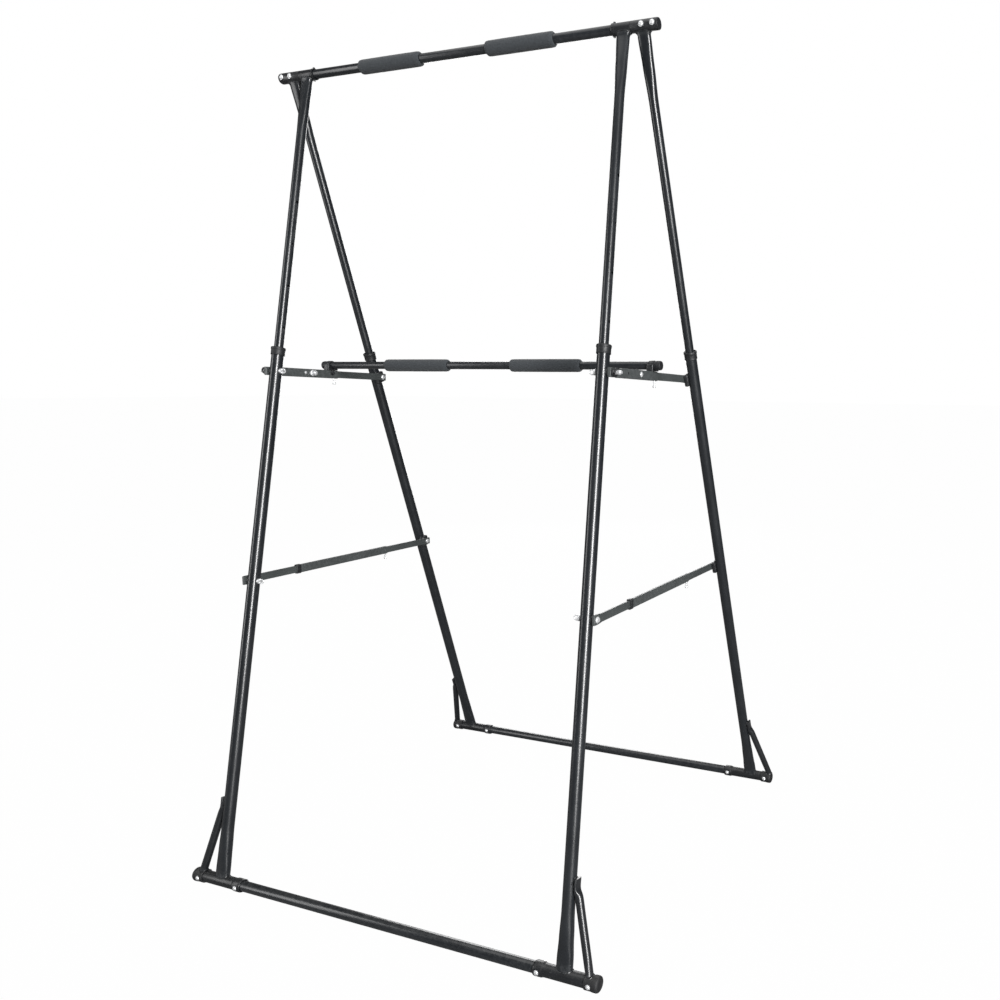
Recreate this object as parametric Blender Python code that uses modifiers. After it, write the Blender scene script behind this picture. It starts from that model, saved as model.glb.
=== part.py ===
"""Free-standing folding bar station: two A-frames, a high bar, a low bar and telescoping spreaders.

Metres, +Z up.  The origin is on the floor in the middle of the footprint.  +X runs along the bars,
-Y is the front frame's side and +Y the back frame's side.  Right means +X.
"""
import math

import bmesh
import bpy
from mathutils import Matrix, Vector

# ---------------------------------------------------------------- driving sizes
BAR_Z = 1.974               # height of the high bar's axis
BAR_Y = -0.137              # the front frame stands steeper than the back one
CAP_R = 0.0168              # end caps of the floor rails
CAP_FLAT = 0.0008           # cut off them where they stand on the floor
RAIL_Z = CAP_R - CAP_FLAT   # height of the floor rails' axes
TOP_HALF = 0.442            # front leg to the middle, at the high bar
FOOT_HALF = 0.479           # front leg to the middle, at the floor rail
BACK_OUT = 0.0455           # how much farther out the back legs stand
FRONT_FOOT_Y = -0.513
BACK_FOOT_Y = 0.513

GAP = 0.0003                # left between pieces that touch
RUN = 0.0006                # left between pieces that turn or slide on each other

BAR_R = 0.0106              # high bar
BAR_WALL = 0.0020
BAR_HALF = 0.5235
GRIP_FOAM = 0.0057          # thickness of the foam on the high bar
GRIP_IN = 0.0925
GRIP_OUT = 0.2705

TEE_WALL = 0.0014
TEE_BORE = BAR_R + RUN
TEE_R = TEE_BORE + TEE_WALL
FRONT_TEE_IN = 0.415        # inner end of the front tee
FRONT_TEE_LEN = 0.0455
FRONT_TEE_LIP = 0.003
BACK_TEE_LEN = 0.0610
TEE_BOLT_R = 0.0032
TEE_BOLT_PITCH = 0.026
TEE_BOLT_EDGE = 0.0085      # from the outer bolt to the tee's outer end

LOWER_R = 0.0140            # lower leg tubes
LOWER_WALL = 0.0016
LEG_PLAY = 0.0016           # between upper and lower tubes
UPPER_R = LOWER_R - LOWER_WALL - LEG_PLAY
UPPER_WALL = 0.0016
UPPER_INSERT = 0.300        # length of the upper tube hidden in the lower one
FLARE_R = UPPER_R + 0.0040  # half width of the flattened top at the tee
FLARE_LEN = 0.150
RAISE = 0.103               # one hole of height, the travel of the leg tubes
HOLE_R = 0.0042
HOLE_COUNT = 4
FIRST_HOLE_Z = 1.350

COLLAR_Z = 1.293            # top of the lower tubes
COLLAR_R = LOWER_R + 0.0027
COLLAR_LEN = 0.020

MID_FRONT_Z = 1.2450        # spreader pivots on the legs
MID_BACK_Z = 1.2345
LOW_FRONT_Z = 0.7350
LOW_BACK_Z = 0.7250
BAR_T = 0.0054              # inner spreader bars, thickness and depth
BAR_DEPTH = 0.0183
SLEEVE_WALL = 0.0013
SLEEVE_T = BAR_T + 2 * GAP + 2 * SLEEVE_WALL
SLEEVE_DEPTH = 0.0215
SPREADER_OUT = LOWER_R + 0.0080     # from the front leg's axis out to the spreader's middle
EYE_R = 0.0043
PIVOT_R = 0.0038
EYE_END = 0.012             # bar beyond its eye
SADDLE_TALL = 0.030         # saddle of a back pivot on its leg
SADDLE_DEEP = 0.034
CHANNEL_LEN = 0.216         # outer half of the mid spreader
LOW_SLEEVE_LEN = 0.327      # outer part of the lower spreader
LOW_ROD_SHOW = 0.149        # front rod seen between the front leg and the sleeve
BACK_BAR_TUCK = 0.120       # back bar hidden in its sleeve
ROD_TUCK = 0.040            # front rod hidden in its sleeve

LOW_BAR_R = 0.0095
LOW_BAR_WALL = 0.0016
LOW_BAR_HALF = 0.500
LOW_BAR_RUN = 0.1964        # along the mid spreader from its front pivot
SEAT_THICK = 0.0036         # left of the seat under the low bar
LOW_BAR_RISE = SLEEVE_DEPTH / 2 + SEAT_THICK + LOW_BAR_R
LOW_GRIP_FOAM = 0.0058
LOW_GRIP_IN = 0.093
LOW_GRIP_OUT = 0.290
SEAT_W = 0.016              # seat of the low bar on its channel
SEAT_LEN = 0.034

FRONT_RAIL_HALF = 0.549
BACK_RAIL_HALF = 0.579
RAIL_R = 0.0122
RAIL_WALL = 0.0016
FOOT_WALL = 0.0014
FOOT_BORE = RAIL_R + GAP
FOOT_R = FOOT_BORE + FOOT_WALL
FOOT_LEN = 0.139
FOOT_LIP = 0.014
FOOT_LIP_R = FOOT_R + 0.0019
CAP_LEN = 0.014
CAP_CROWN = 0.008
CAP_SHOULDER = 0.006
PLUG_LEN = 0.020
BRACE_R = 0.0090
BRACE_Z = 0.209             # top of the brace on the leg
BRACE_FLAT = 0.022          # part of the brace that lies along the leg
BRACE_OUT = 0.060           # brace foot, out from the leg's foot

PIN_R = 0.0036
PIN_HOLE_R = PIN_R + 0.0008
PIN_COLLAR_R = 0.0075
RING_R = 0.0052
RING_WIRE = 0.0012
POP_R = 0.0040

BLACK = ("powder_black", (0.028, 0.030, 0.034), 0.42, 0.35)
FOAM = ("foam_black", (0.022, 0.024, 0.026), 0.92, 0.0)
PLASTIC = ("plastic_black", (0.018, 0.019, 0.021), 0.55, 0.0)
RUBBER = ("rubber_black", (0.020, 0.020, 0.021), 0.80, 0.0)
STEEL = ("zinc_steel", (0.72, 0.72, 0.70), 0.30, 1.0)

LEG_SIDES = 16
ROUND_STEPS = 16
SMALL_STEPS = 10

# ---------------------------------------------------------------- scene set-up
for old in list(bpy.data.objects):
    bpy.data.objects.remove(old, do_unlink=True)

parts = bpy.data.collections.new("bar_station")
cutters = bpy.data.collections.new("cutters")
bpy.context.scene.collection.children.link(parts)
bpy.context.scene.collection.children.link(cutters)


def material(look):
    """One Principled material for each finish."""
    name, color, roughness, metallic = look
    found = bpy.data.materials.get(name)
    if found:
        return found
    made = bpy.data.materials.new(name)
    made.use_nodes = True
    shader = made.node_tree.nodes["Principled BSDF"]
    shader.inputs["Base Color"].default_value = (*color, 1.0)
    shader.inputs["Roughness"].default_value = roughness
    shader.inputs["Metallic"].default_value = metallic
    return made


def add(name, data, matrix, look):
    """Put mesh or curve data in the scene as the piece called name."""
    piece = bpy.data.objects.new(name, data)
    piece.matrix_world = matrix
    if look is not None:
        data.materials.append(material(look))
    parts.objects.link(piece)
    return piece


def as_cutter(piece):
    """Move a piece to the cutters: it is never built."""
    parts.objects.unlink(piece)
    cutters.objects.link(piece)
    piece.hide_render = True
    piece.display_type = "WIRE"
    return piece


def boolean(piece, other, operation="DIFFERENCE"):
    modifier = piece.modifiers.new(operation.lower(), "BOOLEAN")
    modifier.operation = operation
    modifier.solver = "EXACT"
    modifier.object = as_cutter(other)
    return piece


# ---------------------------------------------------------------- shapes
def turned(name, profile, matrix, look, steps=ROUND_STEPS, closed=True):
    """Turn a profile of (radius, height) about the local Z axis; it runs down its outer side."""
    mesh = bpy.data.meshes.new(name)
    points = [(radius, 0.0, height) for radius, height in profile]
    edges = [(i, i + 1) for i in range(len(points) - 1)]
    if closed:
        edges.append((len(points) - 1, 0))
    mesh.from_pydata(points, edges, [])
    piece = add(name, mesh, matrix, look)
    screw = piece.modifiers.new("turn", "SCREW")
    screw.axis = "Z"
    screw.angle = 2 * math.pi
    screw.steps = steps
    screw.render_steps = steps
    screw.use_merge_vertices = True
    screw.merge_threshold = 0.00001
    screw.use_smooth_shade = True
    return piece


def tube(name, outer, inner, low, high, matrix, look, steps=ROUND_STEPS):
    return turned(name, [(outer, high), (outer, low), (inner, low), (inner, high)], matrix, look, steps)


def peg(name, radius, low, high, matrix, look=None, steps=SMALL_STEPS):
    """A plain round bar along the local Z axis."""
    mesh = bpy.data.meshes.new(name)
    form = bmesh.new()
    middle = Matrix.Translation((0, 0, (low + high) / 2))
    bmesh.ops.create_cone(form, cap_ends=True, segments=steps, radius1=radius, radius2=radius,
                          depth=high - low, matrix=middle)
    form.to_mesh(mesh)
    form.free()
    return add(name, mesh, matrix, look)


def block(name, low, high, matrix, look=None, round_edge=0.0):
    """A box between two local corners, with rounded edges."""
    low, high = Vector(low), Vector(high)
    mesh = bpy.data.meshes.new(name)
    form = bmesh.new()
    bmesh.ops.create_cube(form, size=1.0)
    bmesh.ops.scale(form, vec=high - low, verts=form.verts)
    bmesh.ops.translate(form, vec=(high + low) / 2, verts=form.verts)
    form.to_mesh(mesh)
    form.free()
    piece = add(name, mesh, matrix, look)
    if round_edge:
        bevel = piece.modifiers.new("round", "BEVEL")
        bevel.width = round_edge
        bevel.segments = 2
    return piece


def loft_tube(name, stations, wall, matrix, look):
    """A hollow tube through stations of (height, half width in X, half width in Y)."""
    form = bmesh.new()
    rings = []
    for inset in (0.0, wall):
        rings.append([])
        for height, half_x, half_y in stations:
            ring = []
            for i in range(LEG_SIDES):
                angle = 2 * math.pi * i / LEG_SIDES
                ring.append(form.verts.new(((half_x - inset) * math.cos(angle),
                                            (half_y - inset) * math.sin(angle), height)))
            rings[-1].append(ring)
    outer, inner = rings
    strips = list(zip(outer, outer[1:])) + list(zip(inner[1:], inner))
    strips += [(inner[0], outer[0]), (outer[-1], inner[-1])]
    for low, high in strips:
        for i in range(LEG_SIDES):
            j = (i + 1) % LEG_SIDES
            form.faces.new((low[i], low[j], high[j], high[i]))
    mesh = bpy.data.meshes.new(name)
    form.to_mesh(mesh)
    form.free()
    mesh.shade_smooth()
    mesh.set_sharp_from_angle(angle=math.radians(40))
    return add(name, mesh, matrix, look)


def round_wire(name, points, radius, matrix, look, cyclic=False):
    """A round bar along straight runs between points."""
    curve = bpy.data.curves.new(name, "CURVE")
    curve.dimensions = "3D"
    curve.bevel_depth = radius
    curve.bevel_resolution = 2
    curve.resolution_u = 1
    curve.render_resolution_u = 0
    curve.use_fill_caps = not cyclic
    run = curve.splines.new("POLY")
    run.points.add(len(points) - 1)
    for point, place in zip(run.points, points):
        point.co = (*place, 1.0)
    run.use_cyclic_u = cyclic
    return add(name, curve, matrix, look)


def as_mesh(piece):
    """Turn a curve or a piece with modifiers into a plain welded mesh in its place."""
    bpy.context.view_layer.update()
    seen = piece.evaluated_get(bpy.context.evaluated_depsgraph_get())
    mesh = bpy.data.meshes.new_from_object(seen)
    form = bmesh.new()
    form.from_mesh(mesh)
    bmesh.ops.remove_doubles(form, verts=form.verts, dist=0.000001)
    form.to_mesh(mesh)
    form.free()
    name, matrix = piece.name, piece.matrix_world.copy()
    old = piece.data
    bpy.data.objects.remove(piece, do_unlink=True)
    if isinstance(old, bpy.types.Curve):
        bpy.data.curves.remove(old)
    made = bpy.data.objects.new(name, mesh)
    made.matrix_world = matrix
    parts.objects.link(made)
    return made


def left_copy(right, name):
    """The mirror image of a right-hand piece, for the left side."""
    bpy.context.view_layer.update()
    seen = right.evaluated_get(bpy.context.evaluated_depsgraph_get())
    mesh = bpy.data.meshes.new_from_object(seen)
    form = bmesh.new()
    form.from_mesh(mesh)
    bmesh.ops.remove_doubles(form, verts=form.verts, dist=0.000001)
    bmesh.ops.transform(form, matrix=Matrix.Scale(-1, 4, (1, 0, 0)) @ right.matrix_world,
                        verts=form.verts)
    bmesh.ops.reverse_faces(form, faces=form.faces)
    form.to_mesh(mesh)
    form.free()
    made = bpy.data.objects.new(name, mesh)
    parts.objects.link(made)
    return made


def both(right, body):
    """Finish a right-hand piece, make its left-hand twin and give both to a body."""
    stem = right.name
    right.name = stem + "_right"
    left = left_copy(right, stem + "_left")
    body.take(right, left)
    return right, left


class Body:
    """Pieces that move as one, carried by an empty on their joint."""

    def __init__(self, name, place):
        self.empty = bpy.data.objects.new(name, None)
        self.empty.location = place
        self.empty.empty_display_size = 0.05
        parts.objects.link(self.empty)

    def take(self, *pieces):
        bpy.context.view_layer.update()
        for piece in pieces:
            placed = piece.matrix_world.copy()
            piece.parent = self.empty
            piece.matrix_world = placed


# ---------------------------------------------------------------- places
def frame_foot(back):
    return BACK_FOOT_Y if back else FRONT_FOOT_Y


def leg_point(back, z):
    """Point at height z on a right-hand leg's axis."""
    down = (BAR_Z - z) / (BAR_Z - RAIL_Z)
    x = TOP_HALF + (FOOT_HALF - TOP_HALF) * down
    if back:
        x += BACK_OUT
    return Vector((x, BAR_Y + (frame_foot(back) - BAR_Y) * down, z))


def leg_matrix(back, z, shift=0.0):
    """Place on a right-hand leg: local Z runs up the leg, local X points out."""
    up = (leg_point(back, BAR_Z) - leg_point(back, RAIL_Z)).normalized()
    side = (Vector((1, 0, 0)) - up * up.x).normalized()
    front_back = up.cross(side)
    turn = Matrix((side, front_back, up)).transposed().to_4x4()
    return Matrix.Translation(leg_point(back, z) + Vector((shift, 0, 0))) @ turn


def leg_length(back, low, high):
    return (leg_point(back, high) - leg_point(back, low)).length


def along_x(x, y, z):
    """Place whose local Z runs along world X."""
    return Matrix.Translation((x, y, z)) @ Matrix.Rotation(math.pi / 2, 4, "Y")


def across(x, y, z):
    """Place whose local Z runs towards the front."""
    return Matrix.Translation((x, y, z)) @ Matrix.Rotation(math.pi / 2, 4, "X")


class Spreader:
    """Frame of a right-hand spreader: local Y runs from its front pivot to its back pivot."""

    def __init__(self, front_z, back_z):
        front, back = leg_point(False, front_z), leg_point(True, back_z)
        self.x = leg_point(False, (front_z + back_z) / 2).x + SPREADER_OUT
        self.front = Vector((self.x, front.y, front.z))
        self.back = Vector((self.x, back.y, back.z))
        self.length = (self.back - self.front).length
        run = (self.back - self.front).normalized()
        side = Vector((1, 0, 0))
        turn = Matrix((side, run, side.cross(run))).transposed().to_4x4()
        self.matrix = Matrix.Translation(self.front) @ turn
        self.leg_back = leg_point(True, back_z)
        self.leg_front = leg_point(False, front_z)

    def cross(self, run):
        """Place whose local Z goes through the spreader along X, at a distance from the front pivot."""
        return self.matrix @ Matrix.Translation((0, run, 0)) @ Matrix.Rotation(math.pi / 2, 4, "Y")


mid = Spreader(MID_FRONT_Z, MID_BACK_Z)
low = Spreader(LOW_FRONT_Z, LOW_BACK_Z)
low_bar_y, low_bar_z = (mid.matrix @ Vector((0, LOW_BAR_RUN, LOW_BAR_RISE))).yz

# The legs lean outward, so the upper tubes drift sideways in the lower ones as they slide.
UPPER_SHIFT = -(FOOT_HALF - TOP_HALF) / leg_length(True, RAIL_Z, BAR_Z) * RAISE / 2

back_lower = Body("back_lower_frame", (0, BACK_FOOT_Y, RAIL_Z))
front_lower = Body("front_lower_frame", (0, FRONT_FOOT_Y, RAIL_Z))
top_frame = Body("top_frame", (0, BAR_Y, BAR_Z))
front_upper = Body("front_upper_frame", (0, BAR_Y, BAR_Z))
mid_bars = Body("mid_spreader_bars", (0, mid.back.y, mid.back.z))
low_bar_frame = Body("low_bar_frame", (0, low_bar_y, low_bar_z))


# ---------------------------------------------------------------- high bar and tees
def high_bar():
    bar = tube("high_bar", BAR_R, BAR_R - BAR_WALL, -BAR_HALF, BAR_HALF, along_x(0, BAR_Y, BAR_Z), BLACK)
    for side in (-1, 1):
        for x in tee_bolt_places():
            place = across(side * x, BAR_Y, BAR_Z)
            boolean(bar, peg("high_bar_hole", TEE_BOLT_R + GAP, -BAR_R * 2, BAR_R * 2, place))
    return bar


def back_tee_span():
    start = FRONT_TEE_IN + FRONT_TEE_LEN + RUN
    return start, start + BACK_TEE_LEN


def tee_bolt_places():
    outer = back_tee_span()[1] - TEE_BOLT_EDGE
    return outer - TEE_BOLT_PITCH, outer


def grip(name, bar_r, foam, start, end, y, z):
    """Foam sleeve with a chamfer at each end."""
    inner = bar_r + GAP
    outer = bar_r + foam
    chamfer = foam * 0.6
    profile = [(outer - chamfer, end), (outer, end - chamfer), (outer, start + chamfer),
               (outer - chamfer, start), (inner, start), (inner, end)]
    return turned(name, profile, along_x(0, y, z), FOAM)


def front_tee():
    """Turns on the high bar; a lip at its inner end."""
    end = FRONT_TEE_IN + FRONT_TEE_LEN
    lip_r = TEE_R + 0.0010
    profile = [(TEE_R, end), (TEE_R, FRONT_TEE_IN + FRONT_TEE_LIP), (lip_r, FRONT_TEE_IN + FRONT_TEE_LIP),
               (lip_r, FRONT_TEE_IN), (TEE_BORE, FRONT_TEE_IN), (TEE_BORE, end)]
    return turned("front_tee", profile, along_x(0, BAR_Y, BAR_Z), BLACK)


def back_tee():
    """Bolted to the high bar."""
    start, end = back_tee_span()
    tee = tube("back_tee", TEE_R, BAR_R + GAP, start, end, along_x(0, BAR_Y, BAR_Z), BLACK)
    for x in tee_bolt_places():
        boolean(tee, peg("back_tee_hole", TEE_BOLT_R + GAP, -TEE_R * 2, TEE_R * 2, across(x, BAR_Y, BAR_Z)))
    return tee


def tee_bolt(name, x):
    """Dome-headed bolt through tee and bar, its head to the front and its nut behind."""
    face = TEE_R + GAP
    head_r, nut_r = TEE_BOLT_R * 2.0, TEE_BOLT_R * 1.9
    profile = [(0, face + 0.0042), (head_r * 0.6, face + 0.0036), (head_r, face + 0.0012), (head_r, face),
               (TEE_BOLT_R, face), (TEE_BOLT_R, -face), (nut_r, -face), (nut_r, -face - 0.005),
               (TEE_BOLT_R, -face - 0.005), (TEE_BOLT_R, -face - 0.0075), (0, -face - 0.0075)]
    return turned(name, profile, across(x, BAR_Y, BAR_Z), STEEL, SMALL_STEPS, closed=False)


def upper_leg(back):
    """Upper tube: flattened against its tee at the top, its foot inside the lower tube."""
    stem = "back_upper_leg" if back else "front_upper_leg"
    reach = leg_length(back, COLLAR_Z, BAR_Z)
    full = FLARE_R, UPPER_R * 0.72
    half = (UPPER_R + full[0]) / 2, (UPPER_R + full[1]) / 2
    stations = [(-UPPER_INSERT, UPPER_R, UPPER_R), (reach - FLARE_LEN, UPPER_R, UPPER_R),
                (reach - FLARE_LEN * 0.55, *half), (reach - FLARE_LEN * 0.2, *full),
                (reach - TEE_R * 0.5, *full)]
    leg = loft_tube(stem, stations, UPPER_WALL, leg_matrix(back, COLLAR_Z, UPPER_SHIFT), BLACK)
    boolean(leg, peg("saddle_cut", TEE_R + GAP, 0.30, 0.60, along_x(0, BAR_Y, BAR_Z), steps=ROUND_STEPS))
    for i in range(HOLE_COUNT):
        place = leg_matrix(back, FIRST_HOLE_Z + i * RAISE, UPPER_SHIFT)
        if back:
            place = place @ Matrix.Rotation(-math.pi / 2, 4, "X")
            boolean(leg, peg("button_hole", HOLE_R, 0.0, UPPER_R * 2, place))
        else:
            place = place @ Matrix.Rotation(math.pi / 2, 4, "Y")
            boolean(leg, peg("pin_hole", HOLE_R, -UPPER_R * 2, UPPER_R * 2, place))
    return leg


bar = high_bar()
top_frame.take(bar)
both(grip("high_grip", BAR_R, GRIP_FOAM, GRIP_IN, GRIP_OUT, BAR_Y, BAR_Z), top_frame)
both(back_tee(), top_frame)
for number, x in enumerate(tee_bolt_places(), 1):
    both(tee_bolt("tee_bolt_%d" % number, x), top_frame)
both(upper_leg(True), top_frame)
both(front_tee(), front_upper)
both(upper_leg(False), front_upper)


# ---------------------------------------------------------------- lower legs and feet
def lower_leg(back):
    """Lower tube: flattened and spread over the foot sleeve, open at the collar."""
    stem = "back_lower_leg" if back else "front_lower_leg"
    length = leg_length(back, RAIL_Z, COLLAR_Z)
    wide = LOWER_R * 1.28, LOWER_R * 0.80
    stations = [(FOOT_R * 0.5, *wide), (0.045, *wide), (0.120, LOWER_R, LOWER_R), (length, LOWER_R, LOWER_R)]
    leg = loft_tube(stem, stations, LOWER_WALL, leg_matrix(back, RAIL_Z), BLACK)
    foot_y = frame_foot(back)
    boolean(leg, peg("foot_cut", FOOT_R + GAP, 0.30, 0.70, along_x(0, foot_y, RAIL_Z), steps=ROUND_STEPS))
    if not back:
        for spreader in (mid, low):
            place = Matrix.Translation(spreader.leg_front) @ Matrix.Rotation(math.pi / 2, 4, "Y")
            boolean(leg, peg("pin_hole", PIN_HOLE_R, -LOWER_R * 2, 0.0, place))
            face = spreader.x - SLEEVE_T / 2 - RUN - spreader.leg_front.x
            boss = peg("pivot_boss", PIN_COLLAR_R, LOWER_R - LOWER_WALL * 0.6, face, place, BLACK)
            boolean(leg, boss, "UNION")
    else:
        for spreader in (mid, low):
            boolean(leg, back_saddle(spreader), "UNION")
    return leg


def back_saddle(spreader):
    """Saddle welded to the back leg's inner side, with the pivot pin of the spreader's back bar."""
    axis_out = spreader.leg_back.x - spreader.x
    face = BAR_T / 2 + 0.0004
    tall, deep = SADDLE_TALL, SADDLE_DEEP
    place = leg_matrix(True, spreader.leg_back.z)
    saddle = block("saddle", (face - axis_out, -deep / 2, -tall / 2), (-0.002, deep / 2, tall / 2), place,
                   BLACK, 0.002)
    boolean(saddle, peg("bore_cut", LOWER_R - LOWER_WALL / 2, -0.05, 0.05, place, steps=LEG_SIDES))
    pin_place = Matrix.Translation(spreader.back) @ Matrix.Rotation(math.pi / 2, 4, "Y")
    pin = peg("pivot_pin", PIVOT_R, -BAR_T / 2 - 0.0016, face + 0.003, pin_place, STEEL)
    return boolean(saddle, pin, "UNION")


def collar(back):
    """Plastic collar: sits over the lower tube's end and guides the upper tube."""
    stem = "back_collar" if back else "front_collar"
    bore = LOWER_R - LOWER_WALL
    seat = LOWER_R + GAP
    top, bottom = COLLAR_LEN / 2, -COLLAR_LEN / 2
    edge = 0.0018
    profile = [(COLLAR_R - edge, top), (COLLAR_R, top - edge), (COLLAR_R, bottom + edge),
               (COLLAR_R - edge, bottom), (seat, bottom), (seat, GAP), (bore, GAP), (bore, top)]
    return turned(stem, profile, leg_matrix(back, COLLAR_Z), PLASTIC)


def rail(name, half, y):
    return tube(name, RAIL_R, RAIL_R - RAIL_WALL, -half, half, along_x(0, y, RAIL_Z), BLACK)


def foot_sleeve(back):
    """Sleeve on the rail's end that the leg and its brace are welded to; a clamp lip at its inner end."""
    end = BACK_RAIL_HALF if back else FRONT_RAIL_HALF
    start = end - FOOT_LEN
    profile = [(FOOT_R, end), (FOOT_R, start + FOOT_LIP), (FOOT_LIP_R, start + FOOT_LIP - 0.0015),
               (FOOT_LIP_R, start + 0.0015), (FOOT_R, start), (FOOT_BORE, start), (FOOT_BORE, end)]
    stem = "back_foot_sleeve" if back else "front_foot_sleeve"
    return turned(stem, profile, along_x(0, frame_foot(back), RAIL_Z), BLACK)


def end_cap(back):
    """Rounded rubber cap plugged into the rail's end; the station stands on these four."""
    start = (BACK_RAIL_HALF if back else FRONT_RAIL_HALF) + GAP
    plug = RAIL_R - RAIL_WALL - GAP
    end = start + CAP_LEN
    profile = [(0, end), (CAP_R - CAP_CROWN, end)]
    for i in range(1, 4):
        angle = math.pi / 2 * i / 4
        radius = CAP_R - CAP_CROWN * (1 - math.sin(angle))
        profile.append((radius, end - CAP_SHOULDER * (1 - math.cos(angle))))
    profile += [(CAP_R, end - CAP_SHOULDER), (CAP_R, start + 0.001), (CAP_R - 0.001, start), (plug, start),
                (plug, start - PLUG_LEN), (0, start - PLUG_LEN)]
    stem = "back_end_cap" if back else "front_end_cap"
    place = along_x(0, frame_foot(back), RAIL_Z)
    cap = turned(stem, profile, place, RUBBER, closed=False)
    floor = block("floor_cut", (-0.1, -0.1, -0.1), (0.1, 0.1, 0.0),
                  Matrix.Translation((start, frame_foot(back), 0)))
    return boolean(cap, floor)


def brace(back):
    """Strut from the foot sleeve's outer end up to the outer side of the leg."""
    out = LOWER_R + BRACE_R + GAP * 2
    top = leg_matrix(back, BRACE_Z) @ Vector((out, 0, 0))
    bend = leg_matrix(back, BRACE_Z - BRACE_FLAT) @ Vector((out, 0, 0))
    toe = leg_point(back, RAIL_Z) + Vector((BRACE_OUT, 0, 0))
    toe.z += CAP_R + 0.0045
    stem = "back_brace" if back else "front_brace"
    return as_mesh(round_wire(stem, [top, bend, toe], BRACE_R, Matrix(), BLACK))


for is_back, body in ((True, back_lower), (False, front_lower)):
    both(lower_leg(is_back), body)
    both(collar(is_back), body)
    both(foot_sleeve(is_back), body)
    both(brace(is_back), body)
    both(end_cap(is_back), body)
back_lower.take(rail("back_rail", BACK_RAIL_HALF, BACK_FOOT_Y))
front_lower.take(rail("front_rail", FRONT_RAIL_HALF, FRONT_FOOT_Y))


# ---------------------------------------------------------------- spreaders
def spreader_bar(name, spreader, start, end, eye):
    """Flat inner bar from start to end, measured from the front pivot, with an eye at one pivot."""
    bar = block(name, (-BAR_T / 2, start, -BAR_DEPTH / 2), (BAR_T / 2, end, BAR_DEPTH / 2),
                spreader.matrix, BLACK, 0.0012)
    hole = peg("eye", EYE_R, -BAR_T, BAR_T, spreader.cross(eye))
    return boolean(bar, hole)


def sleeve(name, spreader, start, end, blind):
    """Flat outer tube; blind is the solid length at its front end."""
    half_t, half_d = SLEEVE_T / 2, SLEEVE_DEPTH / 2
    hollow_t, hollow_d = BAR_T / 2 + GAP, BAR_DEPTH / 2 + GAP
    outer = block(name, (-half_t, start, -half_d), (half_t, end, half_d), spreader.matrix, BLACK, 0.0016)
    hollow_start = start + blind if blind else start - 0.01
    hollow = block("hollow", (-hollow_t, hollow_start, -hollow_d), (hollow_t, end + 0.01, hollow_d),
                   spreader.matrix)
    return boolean(outer, hollow)


def mid_spreader():
    channel = sleeve("mid_channel", mid, -EYE_END, CHANNEL_LEN, 0.045)
    boolean(channel, peg("eye", EYE_R, -SLEEVE_T, SLEEVE_T, mid.cross(0)))
    tucked_end = CHANNEL_LEN - BACK_BAR_TUCK
    back_bar = spreader_bar("mid_back_bar", mid, tucked_end, mid.length + EYE_END, mid.length)
    both(channel, low_bar_frame)
    both(back_bar, mid_bars)


def low_spreader():
    sleeve_start = LOW_ROD_SHOW
    sleeve_end = sleeve_start + LOW_SLEEVE_LEN
    rod = spreader_bar("low_front_rod", low, -EYE_END, sleeve_start + ROD_TUCK, 0)
    cover = sleeve("low_sleeve", low, sleeve_start, sleeve_end, 0)
    back_bar = spreader_bar("low_back_bar", low, sleeve_end - BACK_BAR_TUCK, low.length + EYE_END, low.length)
    for pieces, stem in (((rod, cover), "low_spreader_front"), ((back_bar,), "low_spreader_back")):
        place = low.front if stem.endswith("front") else low.back
        right_body = Body(stem + "_right", place)
        left_body = Body(stem + "_left", (-place.x, place.y, place.z))
        for piece in pieces:
            name = piece.name
            piece.name = name + "_right"
            left_body.take(left_copy(piece, name + "_left"))
            right_body.take(piece)


mid_spreader()
low_spreader()


# ---------------------------------------------------------------- low bar
def low_bar_seat():
    """Seat between the low bar and the channel that carries it."""
    bottom = SLEEVE_DEPTH / 2 + GAP
    seat = block("low_bar_seat", (-SEAT_W / 2, LOW_BAR_RUN - SEAT_LEN / 2, bottom),
                 (SEAT_W / 2, LOW_BAR_RUN + SEAT_LEN / 2, LOW_BAR_RISE + 0.002), mid.matrix, BLACK, 0.0015)
    return boolean(seat, peg("bar_cut", LOW_BAR_R + GAP, 0.40, 0.56, along_x(0, low_bar_y, low_bar_z),
                             steps=ROUND_STEPS))


low_bar = tube("low_bar", LOW_BAR_R, LOW_BAR_R - LOW_BAR_WALL, -LOW_BAR_HALF, LOW_BAR_HALF,
               along_x(0, low_bar_y, low_bar_z), BLACK)
low_bar_frame.take(low_bar)
low_foam = grip("low_grip", LOW_BAR_R, LOW_GRIP_FOAM, LOW_GRIP_IN, LOW_GRIP_OUT, low_bar_y, low_bar_z)
both(low_foam, low_bar_frame)
both(low_bar_seat(), low_bar_frame)


# ---------------------------------------------------------------- pins
def ring_pin(name, spreader):
    """Quick-release pin pulled inward out of the front leg by its ring."""
    wall = LOWER_R - LOWER_WALL * 0.6
    shoulder = LOWER_R + 0.0008
    head = shoulder + 0.006
    profile = [(0, -wall), (PIN_R, -wall), (PIN_R, -shoulder), (PIN_COLLAR_R, -shoulder),
               (PIN_COLLAR_R, -head + 0.001), (PIN_COLLAR_R - 0.001, -head), (0, -head)]
    place = Matrix.Translation(spreader.leg_front) @ Matrix.Rotation(math.pi / 2, 4, "Y")
    pin = turned(name, profile, place, STEEL, SMALL_STEPS, closed=False)
    middle = -head - RING_R + 0.0012
    points = []
    for i in range(SMALL_STEPS):
        angle = 2 * math.pi * i / SMALL_STEPS
        points.append((RING_R * math.cos(angle), 0, middle + RING_R * math.sin(angle)))
    ring = as_mesh(round_wire(name + "_ring", points, RING_WIRE, place, STEEL, cyclic=True))
    return boolean(pin, ring, "UNION")


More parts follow.
